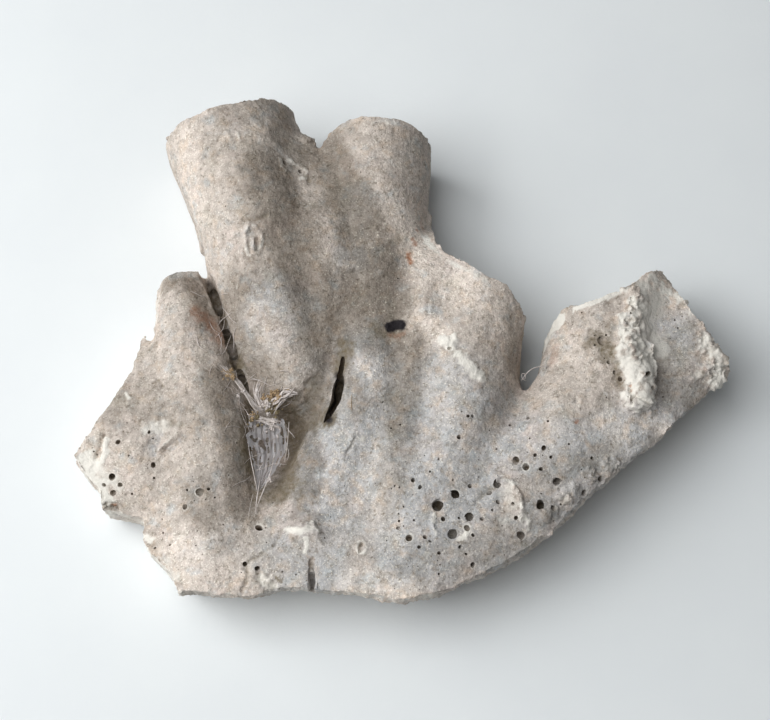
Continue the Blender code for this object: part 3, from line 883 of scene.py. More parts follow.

# White edges, the ridge and the hollow patches of the right branch, and painted light on the ridge's shaded
# flank
RIGHT_MARKS = (
    Mark(((543, 353), (546, 342), (552, 330), (561, 320)), 1.2, 0, FRESH, 1.0),
    Mark(((575, 308), (590, 303), (605, 297), (622, 291)), 0.7, 0, FRESH, 0.9),
    Mark(((613, 293), (626, 291), (636, 297)), 1.0, 0.4, FRESH, 0.9),
    Mark(((652, 278), (667, 274), (676, 284), (681, 299)), 1.3, 0.1, FRESH, 0.85),
    Mark(((634, 297), (633, 318), (632, 340), (635, 355)), 1.3, 0.6, FRESH, 0.9),
    Mark(((634, 340), (638, 352), (642, 366)), 2.0, 0, FRESH, 1.3),
    Mark(((622, 316), (623, 335), (624, 350)), 0.8, 0.3, FRESH, 0.9),
    Mark(((624, 352), (630, 368), (636, 385), (640, 400)), 1.9, 0.5, FRESH, 1.0),
    Mark(((624, 397), (634, 404), (648, 405)), 1.2, 0.4, FRESH, 0.75),
    Mark(((644, 350), (649, 364), (651, 380)), 0.8, 0.4, FRESH, 0.75),
    Mark(((644, 356), (647, 370), (647, 386), (645, 398)), 2.2, 0.9, FRESH, 1.0),
    Mark(((641, 300), (640, 320), (641, 345)), 1.8, 0.45, FRESH, 0.6),
    Mark(((690, 302), (708, 326), (722, 352)), 1.4, 0, FRESH, 0.5),
    Mark(((641, 325), (643, 340), (648, 352)), 0.6, 0.25, FRESH, 0.6),
    Mark(((631, 386), (634, 396), (642, 399)), 0.34, -0.35, RUST, 0.7),
    Mark(((637, 398), (647, 402)), 0.3, -0.3, STAIN, 0.8),
    Mark(((616, 364), (618, 376), (621, 387)), 0.8, -0.25, STAIN, 0.8),
    Mark(((594, 340), (604, 345), (608, 353)), 1.8, -0.2, STAIN, 0.75),
    Mark(((706, 343), (714, 352), (720, 366), (716, 384)), 1.6, 0.5, FRESH, 0.75),
    Mark(((694, 376), (706, 372), (713, 362)), 1.1, 0.35, FRESH, 0.5),
    Mark(((566, 496), (572, 492)), 1.4, 0.5, FRESH, 0.25),
    Mark(((592, 477),), 1.3, 0.5, STAIN, 0.3),
    Mark(((606, 468), (612, 463)), 1.2, 0.45, FRESH, 0.3),
    Mark(((546, 514), (550, 511)), 1.3, 0.45, STAIN, 0.25),
    Mark(((690, 312), (698, 318)), 0.9, 0, FRESH, 0.6),
    Mark(((701, 309), (702, 323)), 0.5, 0, STAIN, 0.6),
    Mark(((683, 304),), 0.8, -0.4, STAIN, 0.4),
    Mark(((707, 370),), 0.7, 0, RUST, 0.35),
    Mark(((577, 422),), 0.45, 0, RUST, 0.8),
    Mark(((555, 349), (552, 362)), 1.0, 0, RUST, 0.25),
    Mark(ring(576.8, 401.5, 4.5), 0.34, 0.1, FRESH, 0.3),
    # Painted light: a broad pale patch over the ridge's shaded upper flank, on its whitish-grey skin
    Mark(((650, 296), (645, 325), (652, 346)), 3.4, 0, FRESH, 0.75),
)

# Where the skin is greyer
COOL_MARKS = shades(
    Tone.COOL,
    (((362, 372), (350, 440), (330, 520), (300, 570)), 9.0, 0.9),
    (((455, 400), (460, 470), (420, 540)), 11.0, 0.9),
    (((520, 450), (590, 460), (620, 440)), 8.0, 0.8),
    (((262, 320), (290, 300)), 7.0, 0.6),
    (((668, 340), (662, 400)), 6.0, 0.7),
    (((355, 200), (350, 260)), 4.0, 0.5),
    (((490, 556), (545, 515), (600, 470)), 5.0, 0.8),
    (((470, 430), (486, 480), (474, 520)), 5.0, 1.0),
)

# Where grime and painted shade dull the skin, mostly in the valleys and on the right of each branch, the
# side away from the light
GRIME_AND_SHADE_MARKS = shades(
    Tone.GRIME_AND_SHADE,
    (((266, 172), (272, 192), (288, 225), (298, 265), (322, 308), (335, 345)), 6.0, 0.95),
    (((238, 286), (228, 312), (238, 345), (262, 372)), 4.0, 0.8),
    (((236, 112), (262, 108), (284, 118), (280, 140)), 3.6, 0.5),
    (((216, 150), (236, 152), (240, 186)), 3.2, 0.3),
    (((348, 128), (352, 146), (340, 160)), 2.4, 0.4),
    (((306, 150), (318, 176), (322, 210)), 2.6, 0.45),
    (((326, 156), (344, 188), (360, 222), (374, 262), (386, 300), (372, 334)), 5.2, 1.0),
    (((352, 282), (350, 312)), 3.4, 0.9),
    (((264, 258), (258, 284)), 2.8, 0.55),
    (((322, 336), (326, 368), (322, 400), (311, 426)), 2.4, 1.0),
    (((299, 404), (303, 430), (297, 462), (284, 488)), 2.6, 0.8),
    (((196, 488), (204, 515)), 3.4, 0.6),
    (((298, 494), (308, 518)), 2.8, 0.5),
    (((548, 476), (580, 462), (606, 448)), 3.0, 0.4),
    (((214, 380), (232, 425), (240, 465), (240, 505)), 3.2, 0.9),
    (((406, 340), (404, 380), (400, 430)), 3.6, 0.8),
    (((402, 420), (396, 460), (384, 505)), 3.8, 0.4),
    (((118, 406), (140, 400), (158, 410), (190, 420)), 5.0, 0.4),
    (((668, 342), (664, 362), (663, 385)), 2.2, 0.7),
    (((688, 318), (692, 342)), 2.8, 0.25),
    (((308, 440), (312, 470), (308, 492)), 2.4, 0.8),
    (((288, 430), (294, 455), (288, 478)), 2.0, 1.0),
    (((344, 372), (338, 398), (330, 420)), 1.8, 1.0),
    (((196, 286), (202, 304), (212, 324)), 1.9, 1.0),
    (((348, 380), (352, 406)), 3.6, 0.8),
    (((408, 566), (455, 556), (500, 545), (545, 510)), 3.4, 0.3),
    (((672, 392), (694, 396), (712, 388)), 3.0, 0.45),
    (((170, 282), (196, 290), (206, 320)), 2.6, 0.8),
    (((511, 318), (517, 345), (516, 372)), 2.4, 0.5),
)

# Where the skin is paler: wear, and painted light on the crests and slopes that face the light
WORN_AND_LIT_MARKS = shades(
    Tone.WORN_AND_LIT,
    (((404, 222), (440, 266), (478, 292), (506, 316)), 4.6, 0.8),
    (((652, 288), (650, 322), (664, 352)), 4.4, 1.0),
    (((676, 300), (682, 312)), 3.0, 0.7),
    (((655, 416), (636, 436), (612, 424)), 3.6, 0.9),
    (((370, 366), (362, 420), (350, 466), (340, 500)), 4.0, 0.8),
    (((448, 378), (456, 410), (450, 460)), 4.2, 0.35),
    (((560, 345), (585, 352), (604, 378)), 3.4, 0.45),
    (((385, 500), (392, 545)), 3.2, 0.45),
    (((505, 446), (560, 436)), 3.4, 0.3),
    (((422, 320), (434, 334)), 2.4, 0.9),
    (((350, 588), (374, 584), (398, 592)), 3.6, 0.8),
    (((180, 548), (198, 570), (232, 578)), 4.2, 0.8),
    (((92, 440), (118, 466), (134, 500)), 3.6, 0.5),
    (((186, 140), (186, 170), (198, 214)), 3.0, 0.4),
)

# Where white grains stick to the skin
SALT_MARKS = shades(
    Tone.SALT,
    (((390, 244), (430, 268), (470, 300), (510, 322)), 7.0, 1.0),
    (((380, 300), (420, 340), (470, 350)), 6.0, 0.9),
    (((340, 240), (360, 290)), 5.0, 0.6),
    (((560, 330), (590, 350), (580, 390)), 6.0, 0.5),
)

MARKS = (
    *TALL_MARKS,
    *HOLLOW_MARKS,
    *MIDDLE_MARKS,
    *FOOT_MARKS,
    *LEFT_MARKS,
    *RIGHT_MARKS,
    *COOL_MARKS,
    *GRIME_AND_SHADE_MARKS,
    *WORN_AND_LIT_MARKS,
    *SALT_MARKS,
)

# Boxes in the photograph with very small pores, as (left, top, right, bottom, how many)
PORE_FIELDS = (
    (385, 400, 600, 590, 110),
    (90, 420, 240, 560, 40),
    (560, 310, 705, 450, 50),
    (240, 470, 390, 590, 36),
    (170, 110, 420, 330, 30),
)


# The web: strands as (across, down, height), with a thickness and a tone
STRANDS = (
    Strand(
        (
            *((222, 367, 14.0), (231, 376, 13.6), (239, 384, 13.1)),
            *((247, 395, 12.4), (255, 406, 11.8), (263, 411, 11.4)),
        ),
        0.22,
    ),
    Strand(((226, 366, 14.0), (233, 379, 13.4), (243, 388, 12.8), (256, 402, 11.9)), 0.08),
    Strand(((223, 370, 14.0), (229, 372, 13.8), (236, 378, 13.3)), 0.2, RUST),
    Strand(((258, 383, 12.8), (256, 391, 12.3), (257, 400, 11.8), (261, 409, 11.5)), 0.3),
    Strand(((262, 385, 12.6), (259, 394, 12.1), (262, 404, 11.7)), 0.1),
    Strand(((296, 391, 13.4), (288, 393, 13.2), (281, 396, 12.7), (274, 402, 12.1), (268, 408, 11.6)), 0.38),
    Strand(((293, 394, 13.2), (285, 398, 12.7), (279, 405, 12.2), (274, 413, 11.7)), 0.12),
    Strand(((290, 389, 13.3), (283, 391, 12.9), (276, 398, 12.4)), 0.1, RUST),
    Strand(((252, 416, 11.6), (260, 418, 11.5), (268, 420, 11.4), (278, 422, 11.5)), 0.26),
    Strand(((256, 419, 11.6), (268, 424, 11.3), (280, 427, 11.2), (280, 433, 10.9), (273, 437, 10.8)), 0.16),
    Strand(((289, 422, 11.4), (288, 436, 11.0), (287, 450, 10.9), (284, 462, 11.0)), 0.07),
    Strand(((286, 424, 11.4), (286, 440, 11.0), (285, 454, 10.9)), 0.05),
    Strand(((274, 457, 11.0), (272, 468, 11.3), (268, 480, 11.8), (262, 494, 12.3), (257, 507, 12.7)), 0.09),
    Strand(((260, 480, 11.7), (258, 492, 12.2), (256, 504, 12.6), (256, 514, 12.8)), 0.08),
    Strand(((246, 436, 11.0), (250, 456, 11.1), (254, 474, 11.6), (257, 490, 12.2)), 0.07),
    Strand(((253, 494, 12.4), (250, 506, 12.7), (248, 518, 12.9)), 0.05),
)
STRAY_HAIRS = (
    Strand(((547, 367, 12.0), (540, 366, 12.4), (531, 369, 12.6), (525, 375, 12.4), (521, 381, 12.0)), 0.06),
    Strand(((526, 381, 12.2), (521, 378, 12.4), (522, 373, 12.5), (526, 374, 12.5), (525, 379, 12.3)), 0.05),
    Strand(((352, 394, 12.0), (351, 402, 12.0), (352, 411, 12.0)), 0.05, RUST),
)

# The torn sheet below the strands: its left and its right edge, from top to bottom
VEIL_LEFT = (
    (250, 413, 11.6),
    (246, 426, 11.1),
    (245, 438, 10.9),
    (250, 454, 10.8),
    (254, 468, 11.1),
    (257, 490, 12.1),
)
VEIL_RIGHT = (
    (282, 413, 11.7),
    (286, 427, 11.1),
    (288, 442, 10.8),
    (286, 456, 10.8),
    (277, 471, 11.3),
    (259, 491, 12.1),
)

# Crumbs that hang in the web: (across, down, height, spread in pixels, how many, tone)
CRUMBS = (
    (229, 375, 13.6, 6, 9, RUST),
    (243, 391, 12.8, 5, 5, None),
    (267, 405, 11.9, 7, 34, None),
    (277, 396, 12.4, 6, 14, RUST),
    (273, 408, 11.8, 7, 20, STAIN),
    (265, 398, 12.2, 8, 10, RUST),
    (252, 416, 11.8, 5, 8, RUST),
    (256, 422, 11.4, 7, 8, STAIN),
    (270, 426, 11.4, 6, 6, None),
    (270, 481, 11.7, 2, 3, None),
)

# Boxes where fine fibres lie: (left, top, right, bottom, how many)
FIBRE_FIELDS = (
    (206, 290, 238, 372, 14),
    (224, 370, 294, 430, 40),
    (250, 430, 288, 480, 14),
)


class Skin:
    """Finds where a pixel of the photograph lies on a mesh, and how deep a point is below it."""

    def __init__(self, obj: bpy.types.Object) -> None:
        """Reads the mesh once.

        Args:
            obj: The mesh object, whose own place is the origin.
        """
        self.tree = BVHTree.FromObject(obj, bpy.context.evaluated_depsgraph_get())

    def at(self, across: float, down: float) -> tuple[Vector, Vector] | None:
        """Returns the point in millimetres and the facing at a pixel, or nothing where it misses."""
        place, facing, _, _ = self.tree.ray_cast(PHOTO.eye() * MM, PHOTO.direction(across, down))
        return None if place is None else (place / MM, facing)

    def path(self, pixels: tuple[tuple[float, float], ...]) -> list[Vector]:
        """Returns the points on the skin, in millimetres, below the pixels that meet it."""
        found = [self.at(*pixel) for pixel in pixels]
        return [hit[0] for hit in found if hit]

    def over(self, across: float, down: float, height: float, lift: float = 0.15) -> Vector:
        """Returns the point that shows at a pixel at a height, or just above the skin where that is higher.

        Args:
            across: Pixels from the left edge.
            down: Pixels from the top edge.
            height: Millimetres above the floor.
            lift: How far above the skin it stays, in millimetres.
        """
        hit = self.at(across, down)
        if hit and hit[0].z > height - lift:
            return hit[0] + hit[1] * lift
        return PHOTO.at_height(across, down, height)

    def depth(self, point: np.ndarray) -> float:
        """Returns how far a point in millimetres is from the skin."""
        return self.tree.find_nearest(Vector(point) * MM)[3] / MM


@dataclass(frozen=True)
class Drill:
    """Makes the plugs that the holes are cut with.

    Attributes:
        above: How far a plug stands above the skin: this much, and this share of its radius.
        large: A plug with more than this radius is a large one.
        large_sides: How many sides a large plug has.
        small_sides: How many sides a small one has.
        slant: How far a plug may lean.
        taper: Its radius at the bottom and at the top, as shares of the hole's.
        stretch: How far out of round it is: the least stretch, and how much more there may be.
    """

    above: tuple[float, float] = (0.35, 0.5)
    large: float = 0.3
    large_sides: int = 18
    small_sides: int = 10
    slant: float = 0.35
    taper: tuple[float, float] = (0.62, 1.06)
    stretch: tuple[float, float] = (0.82, 0.3)

    def plug(
        self, dice: np.random.Generator, place: Vector, facing: Vector, radius: float, deep: float
    ) -> bpy.types.Object:
        """Makes the plug that one hole is cut with, slightly out of round.

        Args:
            dice: The source of its small irregularities.
            place: The hole's middle on the skin, in millimetres.
            facing: The skin's direction there.
            radius: The hole's radius in millimetres.
            deep: The hole's depth in millimetres.

        Returns:
            The plug.
        """
        above = self.above[0] + radius * self.above[1]
        squash, turn, tilt, slant = dice.random(4)
        way = facing + Vector((tilt - 0.5, slant - 0.5, 0)) * self.slant
        deselect_all()
        bpy.ops.mesh.primitive_cone_add(
            vertices=self.large_sides if radius > self.large else self.small_sides,
            radius1=radius * self.taper[0] * MM,
            radius2=radius * self.taper[1] * MM,
            depth=(deep + above) * MM,
            location=(place + way.normalized() * (above - deep) / 2) * MM,
            rotation=way.to_track_quat("Z", "Y").to_euler(),
            scale=(1.0, 1.0, 1.0),
        )
        made = bpy.context.object
        stretch = self.stretch[0] + self.stretch[1] * squash
        spun = Matrix.Rotation(turn * math.pi, 4, "Z")
        made.data.transform(spun @ Matrix.Diagonal((stretch, 1 / stretch, 1, 1)) @ spun.inverted())
        return made


@dataclass(frozen=True)
class Walls:
    """How the skin is coloured in and around a hole, with painted shade that darkens its walls with depth.

    Attributes:
        beyond: How far past a hole's bottom its colour is looked for.
        rim_start: Where the pale rim starts to fade, as a share of the hole's radius.
        rim_width: How wide the rim fades out.
        rim_gain: How much whiter the rim is for each millimetre of the radius, up to 1.
        rim_white: How white the whitest rim is.
        dark: From the first to the second depth below the skin a wall turns fully dark, as painted shade.
        shallow: A hole less deep than this many radii is shallow.
        shallow_dark: How dark the painted shade in a shallow hole gets.
    """

    beyond: float = 0.4
    rim_start: float = 1.05
    rim_width: float = 0.3
    rim_gain: float = 1.2
    rim_white: float = 0.55
    dark: tuple[float, float] = (0.02, 0.4)
    shallow: float = 1.9
    shallow_dark: float = 0.4

    def rim(self, offset: np.ndarray, radius: float) -> np.ndarray:
        """Returns how white the rim of a hole is at each distance from the hole's middle."""
        start = radius * self.rim_start
        fading = (1 - soft_step(offset, start, start + self.rim_width)) * min(1, radius * self.rim_gain)
        return self.rim_white * fading

    def darkness(self, below: float) -> float:
        """Returns how dark the painted shade on a wall is this far below the skin."""
        return float(soft_step(np.array(below), *self.dark))

    def is_shallow(self, radius: float, deep: float) -> bool:
        """Tells whether light reaches the bottom of a hole."""
        return deep < self.shallow * radius


DRILL = Drill()
WALLS = Walls()


@dataclass
class Coral:
    """The coral's fine skin, grown over the frame's solids and parted again at the forks.

    Attributes:
        closing: How far the solids swell so that they fuse across the gaps at the forks.
        grain: The size of the fine mesh's cells.
        evening: How far each round of smoothing goes.
        light_passes: Rounds of smoothing that take the cells' steps away.
        facet_passes: Rounds of smoothing that take the solids' facets away.
        keep: From the first to the second distance from a rim the skin goes from crisp to smoothed.
        sharp_angle: The least angle of an edge that counts as a rim, in degrees.
        shortest_rim: The shortest edge that counts as a rim.
        rim_step: How far apart the points along a rim are.
        cut_width: How near a fork's cut an edge counts as part of it.
        shading_angle: The least angle of an edge that shades as a crisp one, in degrees.
        wide_mark: A raised mark wider than this has broad, low lumps, and a narrower one small, high ones.
        wide_lumps, small_lumps: How high such lumps are, as a share of the mark's rise, and how far across.
        rough_slope, white_slope: Between which facings a break's roughness ends, and its whiteness.
        back_height, back_facing: Skin below this that faces down as far as this is the flat back.
        pore_seed: The seed of the holes' irregularities.
        pore_radii, pore_bias: The limits of the small pores' radius, and how much the smaller outnumber.
        pore_depth, boring_depth: How deep they are, and listed holes with no depth of their own, in radii.
        pore_gap: The least skin between a small pore and another hole.
        rounding_steps: Into how many steps the rim of a plug is rounded.
        block: The size of the block that a fork is cut with.
        borings: Each hole's place, facing, radius and depth.
        grooves: Each crevice, with the points along its line.
        skin: The coral's surface before the holes are cut.
    """

    closing: float = 0.3
    grain: float = 0.21
    evening: float = 0.5
    light_passes: int = 3
    facet_passes: int = 30
    keep: tuple[float, float] = (0.3, 1.1)
    sharp_angle: float = 42.0
    shortest_rim: float = 1.0
    rim_step: float = 0.5
    cut_width: float = 0.5
    shading_angle: float = 50.0
    wide_mark: float = 1.7
    wide_lumps: tuple[float, float] = (0.35, 1.5)
    small_lumps: tuple[float, float] = (0.8, 0.7)
    rough_slope: tuple[float, float] = (0.35, 0.85)
    white_slope: tuple[float, float] = (0.25, 0.7)
    back_height: float = 0.35
    back_facing: float = -0.6
    pore_seed: int = 11
    pore_radii: tuple[float, float] = (0.09, 0.19)
    pore_bias: int = 3
    pore_depth: float = 3.0
    pore_gap: float = 0.2
    boring_depth: float = 3.2
    rounding_steps: int = 2
    block: float = 160.0
    borings: list[tuple[Vector, Vector, float, float]] = field(default_factory=list)
    grooves: list[tuple[Groove, np.ndarray]] = field(default_factory=list)
    skin: Skin | None = None

    def build(self, frame: dict) -> list[bpy.types.Object]:
        """Grows the skin and gives back its finished pieces.


        Returns:
            One object for each node of the coral.
        """
        rims, coral = self.fuse_solids(frame)
        self.smooth_facets(coral, rims)
        smooth = Skin(coral)
        marks = [(mark, smooth.path(mark.path)) for mark in MARKS]
        self.raise_marks(coral, marks)
        self.roughen(coral)
        self.flatten_back(coral)
        self.skin = Skin(coral)
        self.groove(coral)
        self.bore(coral)
        pieces = self.part(coral)
        for piece in pieces:
            self.tone(piece, marks)
            pick(piece)
            bpy.ops.object.shade_smooth_by_angle(angle=math.radians(self.shading_angle))
            log.info("%s: %d triangles", piece.name, triangles_of(piece))
        return pieces

    def fuse_solids(self, frame: dict) -> tuple[list[Vector], bpy.types.Object]:
        """Copies the nodes of the coral, swells them until they meet, and makes one fine mesh.


        Returns:
            Points along the solids' rims, and the fused object.
        """
        rims = []
        copies = []
        for name in [*(fork.node for fork in FORKS), LAST_NODE]:
            mesh = frame["nodes"][name].data.copy()
            mesh.materials.clear()
            copy = bpy.data.objects.new("coral_" + name, mesh)
            bpy.context.scene.collection.objects.link(copy)
            edit(copy)
            bpy.ops.mesh.remove_doubles(threshold=SOLID_MERGE * MM)
            leave_edit()
            rims += self.rims_of(copy)
            finish_with(copy, "DISPLACE", strength=self.closing * MM, mid_level=0.0)
            copies.append(copy)
        coral = pick(*copies)
        bpy.ops.object.join()
        coral.name = "coral"
        for attribute in list(coral.data.attributes):
            if attribute.name == "custom_normal":
                coral.data.attributes.remove(attribute)
        finish_with(coral, "REMESH", mode="VOXEL", voxel_size=self.grain * MM, adaptivity=0.0)
        finish_with(coral, "SMOOTH", factor=self.evening, iterations=self.light_passes)
        finish_with(coral, "DISPLACE", strength=-self.closing * MM, mid_level=0.0)
        log.info("fused: %d points", len(coral.data.vertices))
        return rims, coral

    def rims_of(self, obj: bpy.types.Object) -> list[Vector]:
        """Finds points along the sharp edges of a solid that aren't edges of its fork cuts.

        Args:
            obj: The solid's merged copy.

        Returns:
            Points in millimetres, about the rim step apart.
        """
        mesh = obj.data
        facings = {}
        for face in mesh.polygons:
            for key in face.edge_keys:
                facings.setdefault(key, []).append(face.normal)
        rims = []
        for (one, other), pair in facings.items():
            if len(pair) != 2 or pair[0].angle(pair[1], 0) < math.radians(self.sharp_angle):
                continue
            start, end = mesh.vertices[one].co / MM, mesh.vertices[other].co / MM
            length = (end - start).length
            if length < self.shortest_rim or self.on_fork(start) and self.on_fork(end):
                continue
            steps = max(1, round(length / self.rim_step))
            rims += [start.lerp(end, k / steps) for k in range(steps + 1)]
        return rims

    def on_fork(self, point: Vector) -> bool:
        """Tells whether a point lies on a fork's cut."""
        for fork in FORKS:
            for start, end in fork.lines:
                along = (Vector(end) - Vector(start)).normalized()
                if abs((point.xy - Vector(start)).dot(Vector((along.y, -along.x)))) < self.cut_width:
                    return True
        return False

    def smooth_facets(self, coral: bpy.types.Object, rims: list[Vector]) -> None:
        """Smooths the skin between the rims and leaves the rims crisp.

        Args:
            coral: The fused object.
            rims: Points along the rims, in millimetres.
        """
        tree = KDTree(len(rims))
        for index, place in enumerate(rims):
            tree.insert(place, index)
        tree.balance()
        away = np.array([tree.find(place)[2] for place in points_of(coral)])
        group_from(coral, "grown", soft_step(away, *self.keep))
        finish_with(
            coral, "SMOOTH", factor=self.evening, iterations=self.facet_passes, vertex_group="grown"
        )
        finish_with(coral, "SMOOTH", factor=self.evening, iterations=self.light_passes)

    def roughen(self, coral: bpy.types.Object) -> None:
        """Gives the skin its fine undulation and grain, and the broken faces their roughness.

        Args:
            coral: The object with its marks raised.
        """
        points = points_of(coral)
        broken = np.zeros(len(points))
        for face in BREAKS:
            broken = np.maximum(broken, face.crumble * face.nearness(points))
        steep = 1 - soft_step(normals_of(coral)[:, 2], *self.rough_slope)
        group_from(coral, "broken", broken * steep)
        for relief in RELIEFS:
            clouds = texture("CLOUDS", relief.name, noise_scale=relief.size * MM, noise_depth=2)
            finish_with(
                coral,
                "DISPLACE",
                texture=clouds,
                texture_coords="LOCAL",
                strength=relief.height * MM,
                mid_level=0.5,
                vertex_group=relief.group,
            )

    def raise_marks(self, coral: bpy.types.Object, marks: list[tuple[Mark, list[Vector]]]) -> None:
        """Moves the skin up or down along each mark.

        Args:
            coral: The smoothed object.
            marks: Each mark with its path on the skin.
        """
        points, facings = points_of(coral), normals_of(coral)
        shift = np.zeros(len(points))
        for mark, path in marks:
            if mark.rise and path:
                near = mark.nearness(points, path)
                close = np.flatnonzero(near)
                share, size = self.wide_lumps if mark.width > self.wide_mark else self.small_lumps
                lumps = share * lumpy(points[close], size)
                shift[close] += mark.rise * near[close] * (1 + lumps)
        move_points(coral, points + facings * shift[:, None])

    def flatten_back(self, coral: bpy.types.Object) -> None:
        """Lays the cut back flat on the floor.

        Args:
            coral: The roughened object.
        """
        points, facings = points_of(coral), normals_of(coral)
        low = (points[:, 2] < self.back_height) & (facings[:, 2] < self.back_facing)
        points[low, 2] = 0.0
        points[:, 2] = np.maximum(points[:, 2], 0.0)
        move_points(coral, points)

    def groove(self, coral: bpy.types.Object) -> None:
        """Cuts the narrow crevices, each with a tube that is stretched downwards and roughened.

        Args:
            coral: The flattened object.
        """
        for groove in GROOVES:
            line = []
            for across, down in groove.path:
                lips = [self.skin.at(across + side, down) for side in (-groove.lip, groove.lip)]
                line.append(PHOTO.at_height(across, down, min(lip[0].z for lip in lips if lip)))
            stops = np.arange(len(line))
            dense = points_along(np.array(line), stops, np.linspace(0, stops[-1], groove.samples))
            cutter = self.groove_cutter(groove, line, dense)
            self.grooves.append((groove, dense))
            finish_with(coral, "BOOLEAN", operation="DIFFERENCE", solver="MANIFOLD", object=cutter)
            bpy.data.objects.remove(cutter, do_unlink=True)

    def groove_cutter(self, groove: Groove, line: list[Vector], dense: np.ndarray) -> bpy.types.Object:
        """Makes the tube that one crevice is cut with.

        Args:
            groove: The crevice.
            line: Its line at the height of its lips.
            dense: Many points along that line, one row each.

        Returns:
            The tube, which is as tall as the crevice is deep, and stands above the lips too.
        """
        ends = (0, len(line) - 1)
        cutter = nurbs_tube(
            line, groove.radius, lambda index: groove.end if index in ends else 1.0, groove.roundness
        )
        points = points_of(cutter)
        near = np.argmin(((points[:, None, :2] - dense[None, :, :2]) ** 2).sum(axis=2), axis=1)
        middle = dense[near, 2]
        tall = (groove.proud + groove.deep) / 2
        sides = [lumpy(points, groove.wave), lumpy(points + groove.apart, groove.wave)]
        points[:, :2] += groove.wobble * np.stack(sides, axis=1)
        height = (points[:, 2] - middle) / groove.radius * tall
        points[:, 2] = middle + (groove.proud - groove.deep) / 2 + height
        move_points(cutter, points)
        return cutter

    def bore(self, coral: bpy.types.Object) -> None:
        """Bores the listed holes and many very small pores.

        Args:
            coral: The object with its crevices cut.
        """
        dice = np.random.default_rng(self.pore_seed)
        for hole in BORINGS:
            hit = self.skin.at(hole.across, hole.down)
            if hit:
                deep = hole.depth or hole.radius * self.boring_depth
                self.borings.append((*hit, hole.radius, deep))
        least, most = self.pore_radii
        for left, top, right, bottom, count in PORE_FIELDS:
            for across, down, share in dice.random((count, 3)):
                hit = self.skin.at(left + across * (right - left), top + down * (bottom - top))
                radius = least + share**self.pore_bias * (most - least)
                if hit and self.is_clear(hit[0], radius):
                    self.borings.append((*hit, radius, radius * self.pore_depth))
        cutters = [DRILL.plug(dice, *boring) for boring in self.borings]
        plug = pick(*cutters)
        bpy.ops.object.join()
        finish_with(plug, "BEVEL", width=least * MM, segments=self.rounding_steps, limit_method="ANGLE")
        before = len(coral.data.vertices)
        finish_with(coral, "BOOLEAN", operation="DIFFERENCE", solver="MANIFOLD", object=plug)
        bpy.data.objects.remove(plug, do_unlink=True)
        log.info("bored %d holes, %d points more", len(cutters), len(coral.data.vertices) - before)

    def is_clear(self, place: Vector, radius: float) -> bool:
        """Tells whether a new pore would stay clear of the holes so far."""
        return all((place - other[0]).length > radius + other[2] + self.pore_gap for other in self.borings)

    def part(self, coral: bpy.types.Object) -> list[bpy.types.Object]:
        """Parts the coral at its forks, where its nodes part, with no gap.

        Args:
            coral: The bored object.

        Returns:
            One object for each node.
        """
        pieces = []
        for fork in FORKS:
            piece = bpy.data.objects.new("fine_" + fork.node, coral.data.copy())
            bpy.context.scene.collection.objects.link(piece)
            for obj, operation in ((piece, "INTERSECT"), (coral, "DIFFERENCE")):
                block = self.fork_block(fork)
                finish_with(obj, "BOOLEAN", operation=operation, solver="MANIFOLD", object=block)
                bpy.data.objects.remove(block, do_unlink=True)
            pieces.append(piece)
        coral.name = "fine_" + LAST_NODE
        return [*pieces, coral]

    def fork_block(self, fork: Fork) -> bpy.types.Object:
        """Makes a tall block that covers what lies on the left of a fork's lines.

        Args:
            fork: The fork.

        Returns:
            The block.
        """
        deselect_all()
        bpy.ops.mesh.primitive_cube_add(size=self.block * MM)
        block = bpy.context.object
        for start, end in fork.lines:
            along = (Vector(end) - Vector(start)).normalized()
            edit(block)
            bpy.ops.mesh.bisect(
                plane_co=Vector((*start, 0)) * MM,
                plane_no=(along.y, -along.x, 0),
                use_fill=True,
                clear_outer=True,
            )
            leave_edit()
        return block

    def tone(self, piece: bpy.types.Object, marks: list[tuple[Mark, list[Vector]]]) -> None:
        """Stores on each point of a piece how strongly it has each tone.

        Args:
            piece: One finished piece.
            marks: Each mark with its path on the skin.
        """
        points = points_of(piece)
        tones = {tone: np.zeros(len(points)) for tone in Tone}
        for mark, path in marks:
            if mark.tone and path:
                near = mark.nearness(points, path)
                tones[mark.tone] = np.maximum(tones[mark.tone], mark.strength * near)
        steep = 1 - soft_step(normals_of(piece)[:, 2], *self.white_slope)
        for face in BREAKS:
            fresh = face.white * steep * face.nearness(points)
            tones[Tone.FRESH] = np.maximum(tones[Tone.FRESH], fresh)
        # The holes' walls darken with depth below the skin: painted shade over their brown
        for place, _, radius, deep in self.borings:
            offset = distance_to_path(points, [place], deep + radius + WALLS.beyond)
            tones[Tone.FRESH] = np.maximum(tones[Tone.FRESH], WALLS.rim(offset, radius))
            for index in np.flatnonzero(offset < deep + radius):
                below = self.skin.depth(points[index])
                if below > WALLS.dark[0]:
                    most = WALLS.shallow_dark if WALLS.is_shallow(radius, deep) else 1.0
                    tones[Tone.BORE][index] = max(tones[Tone.BORE][index], most * WALLS.darkness(below))
        # The crevices' walls turn dark and black with depth below the skin: painted shade
        for groove, dense in self.grooves:
            reach = groove.radius * groove.wall
            offset = distance_to_path(points, [Vector(place) for place in dense], reach)
            for index in np.flatnonzero(offset < reach):
                value = WALLS.darkness(self.skin.depth(points[index]))
                tones[Tone.BORE][index] = max(tones[Tone.BORE][index], value)
                tones[Tone.SOOT_AND_SHADE][index] = max(tones[Tone.SOOT_AND_SHADE][index], groove.soot_and_shade * value)
        for tone, values in tones.items():
            weigh(piece, tone, values)


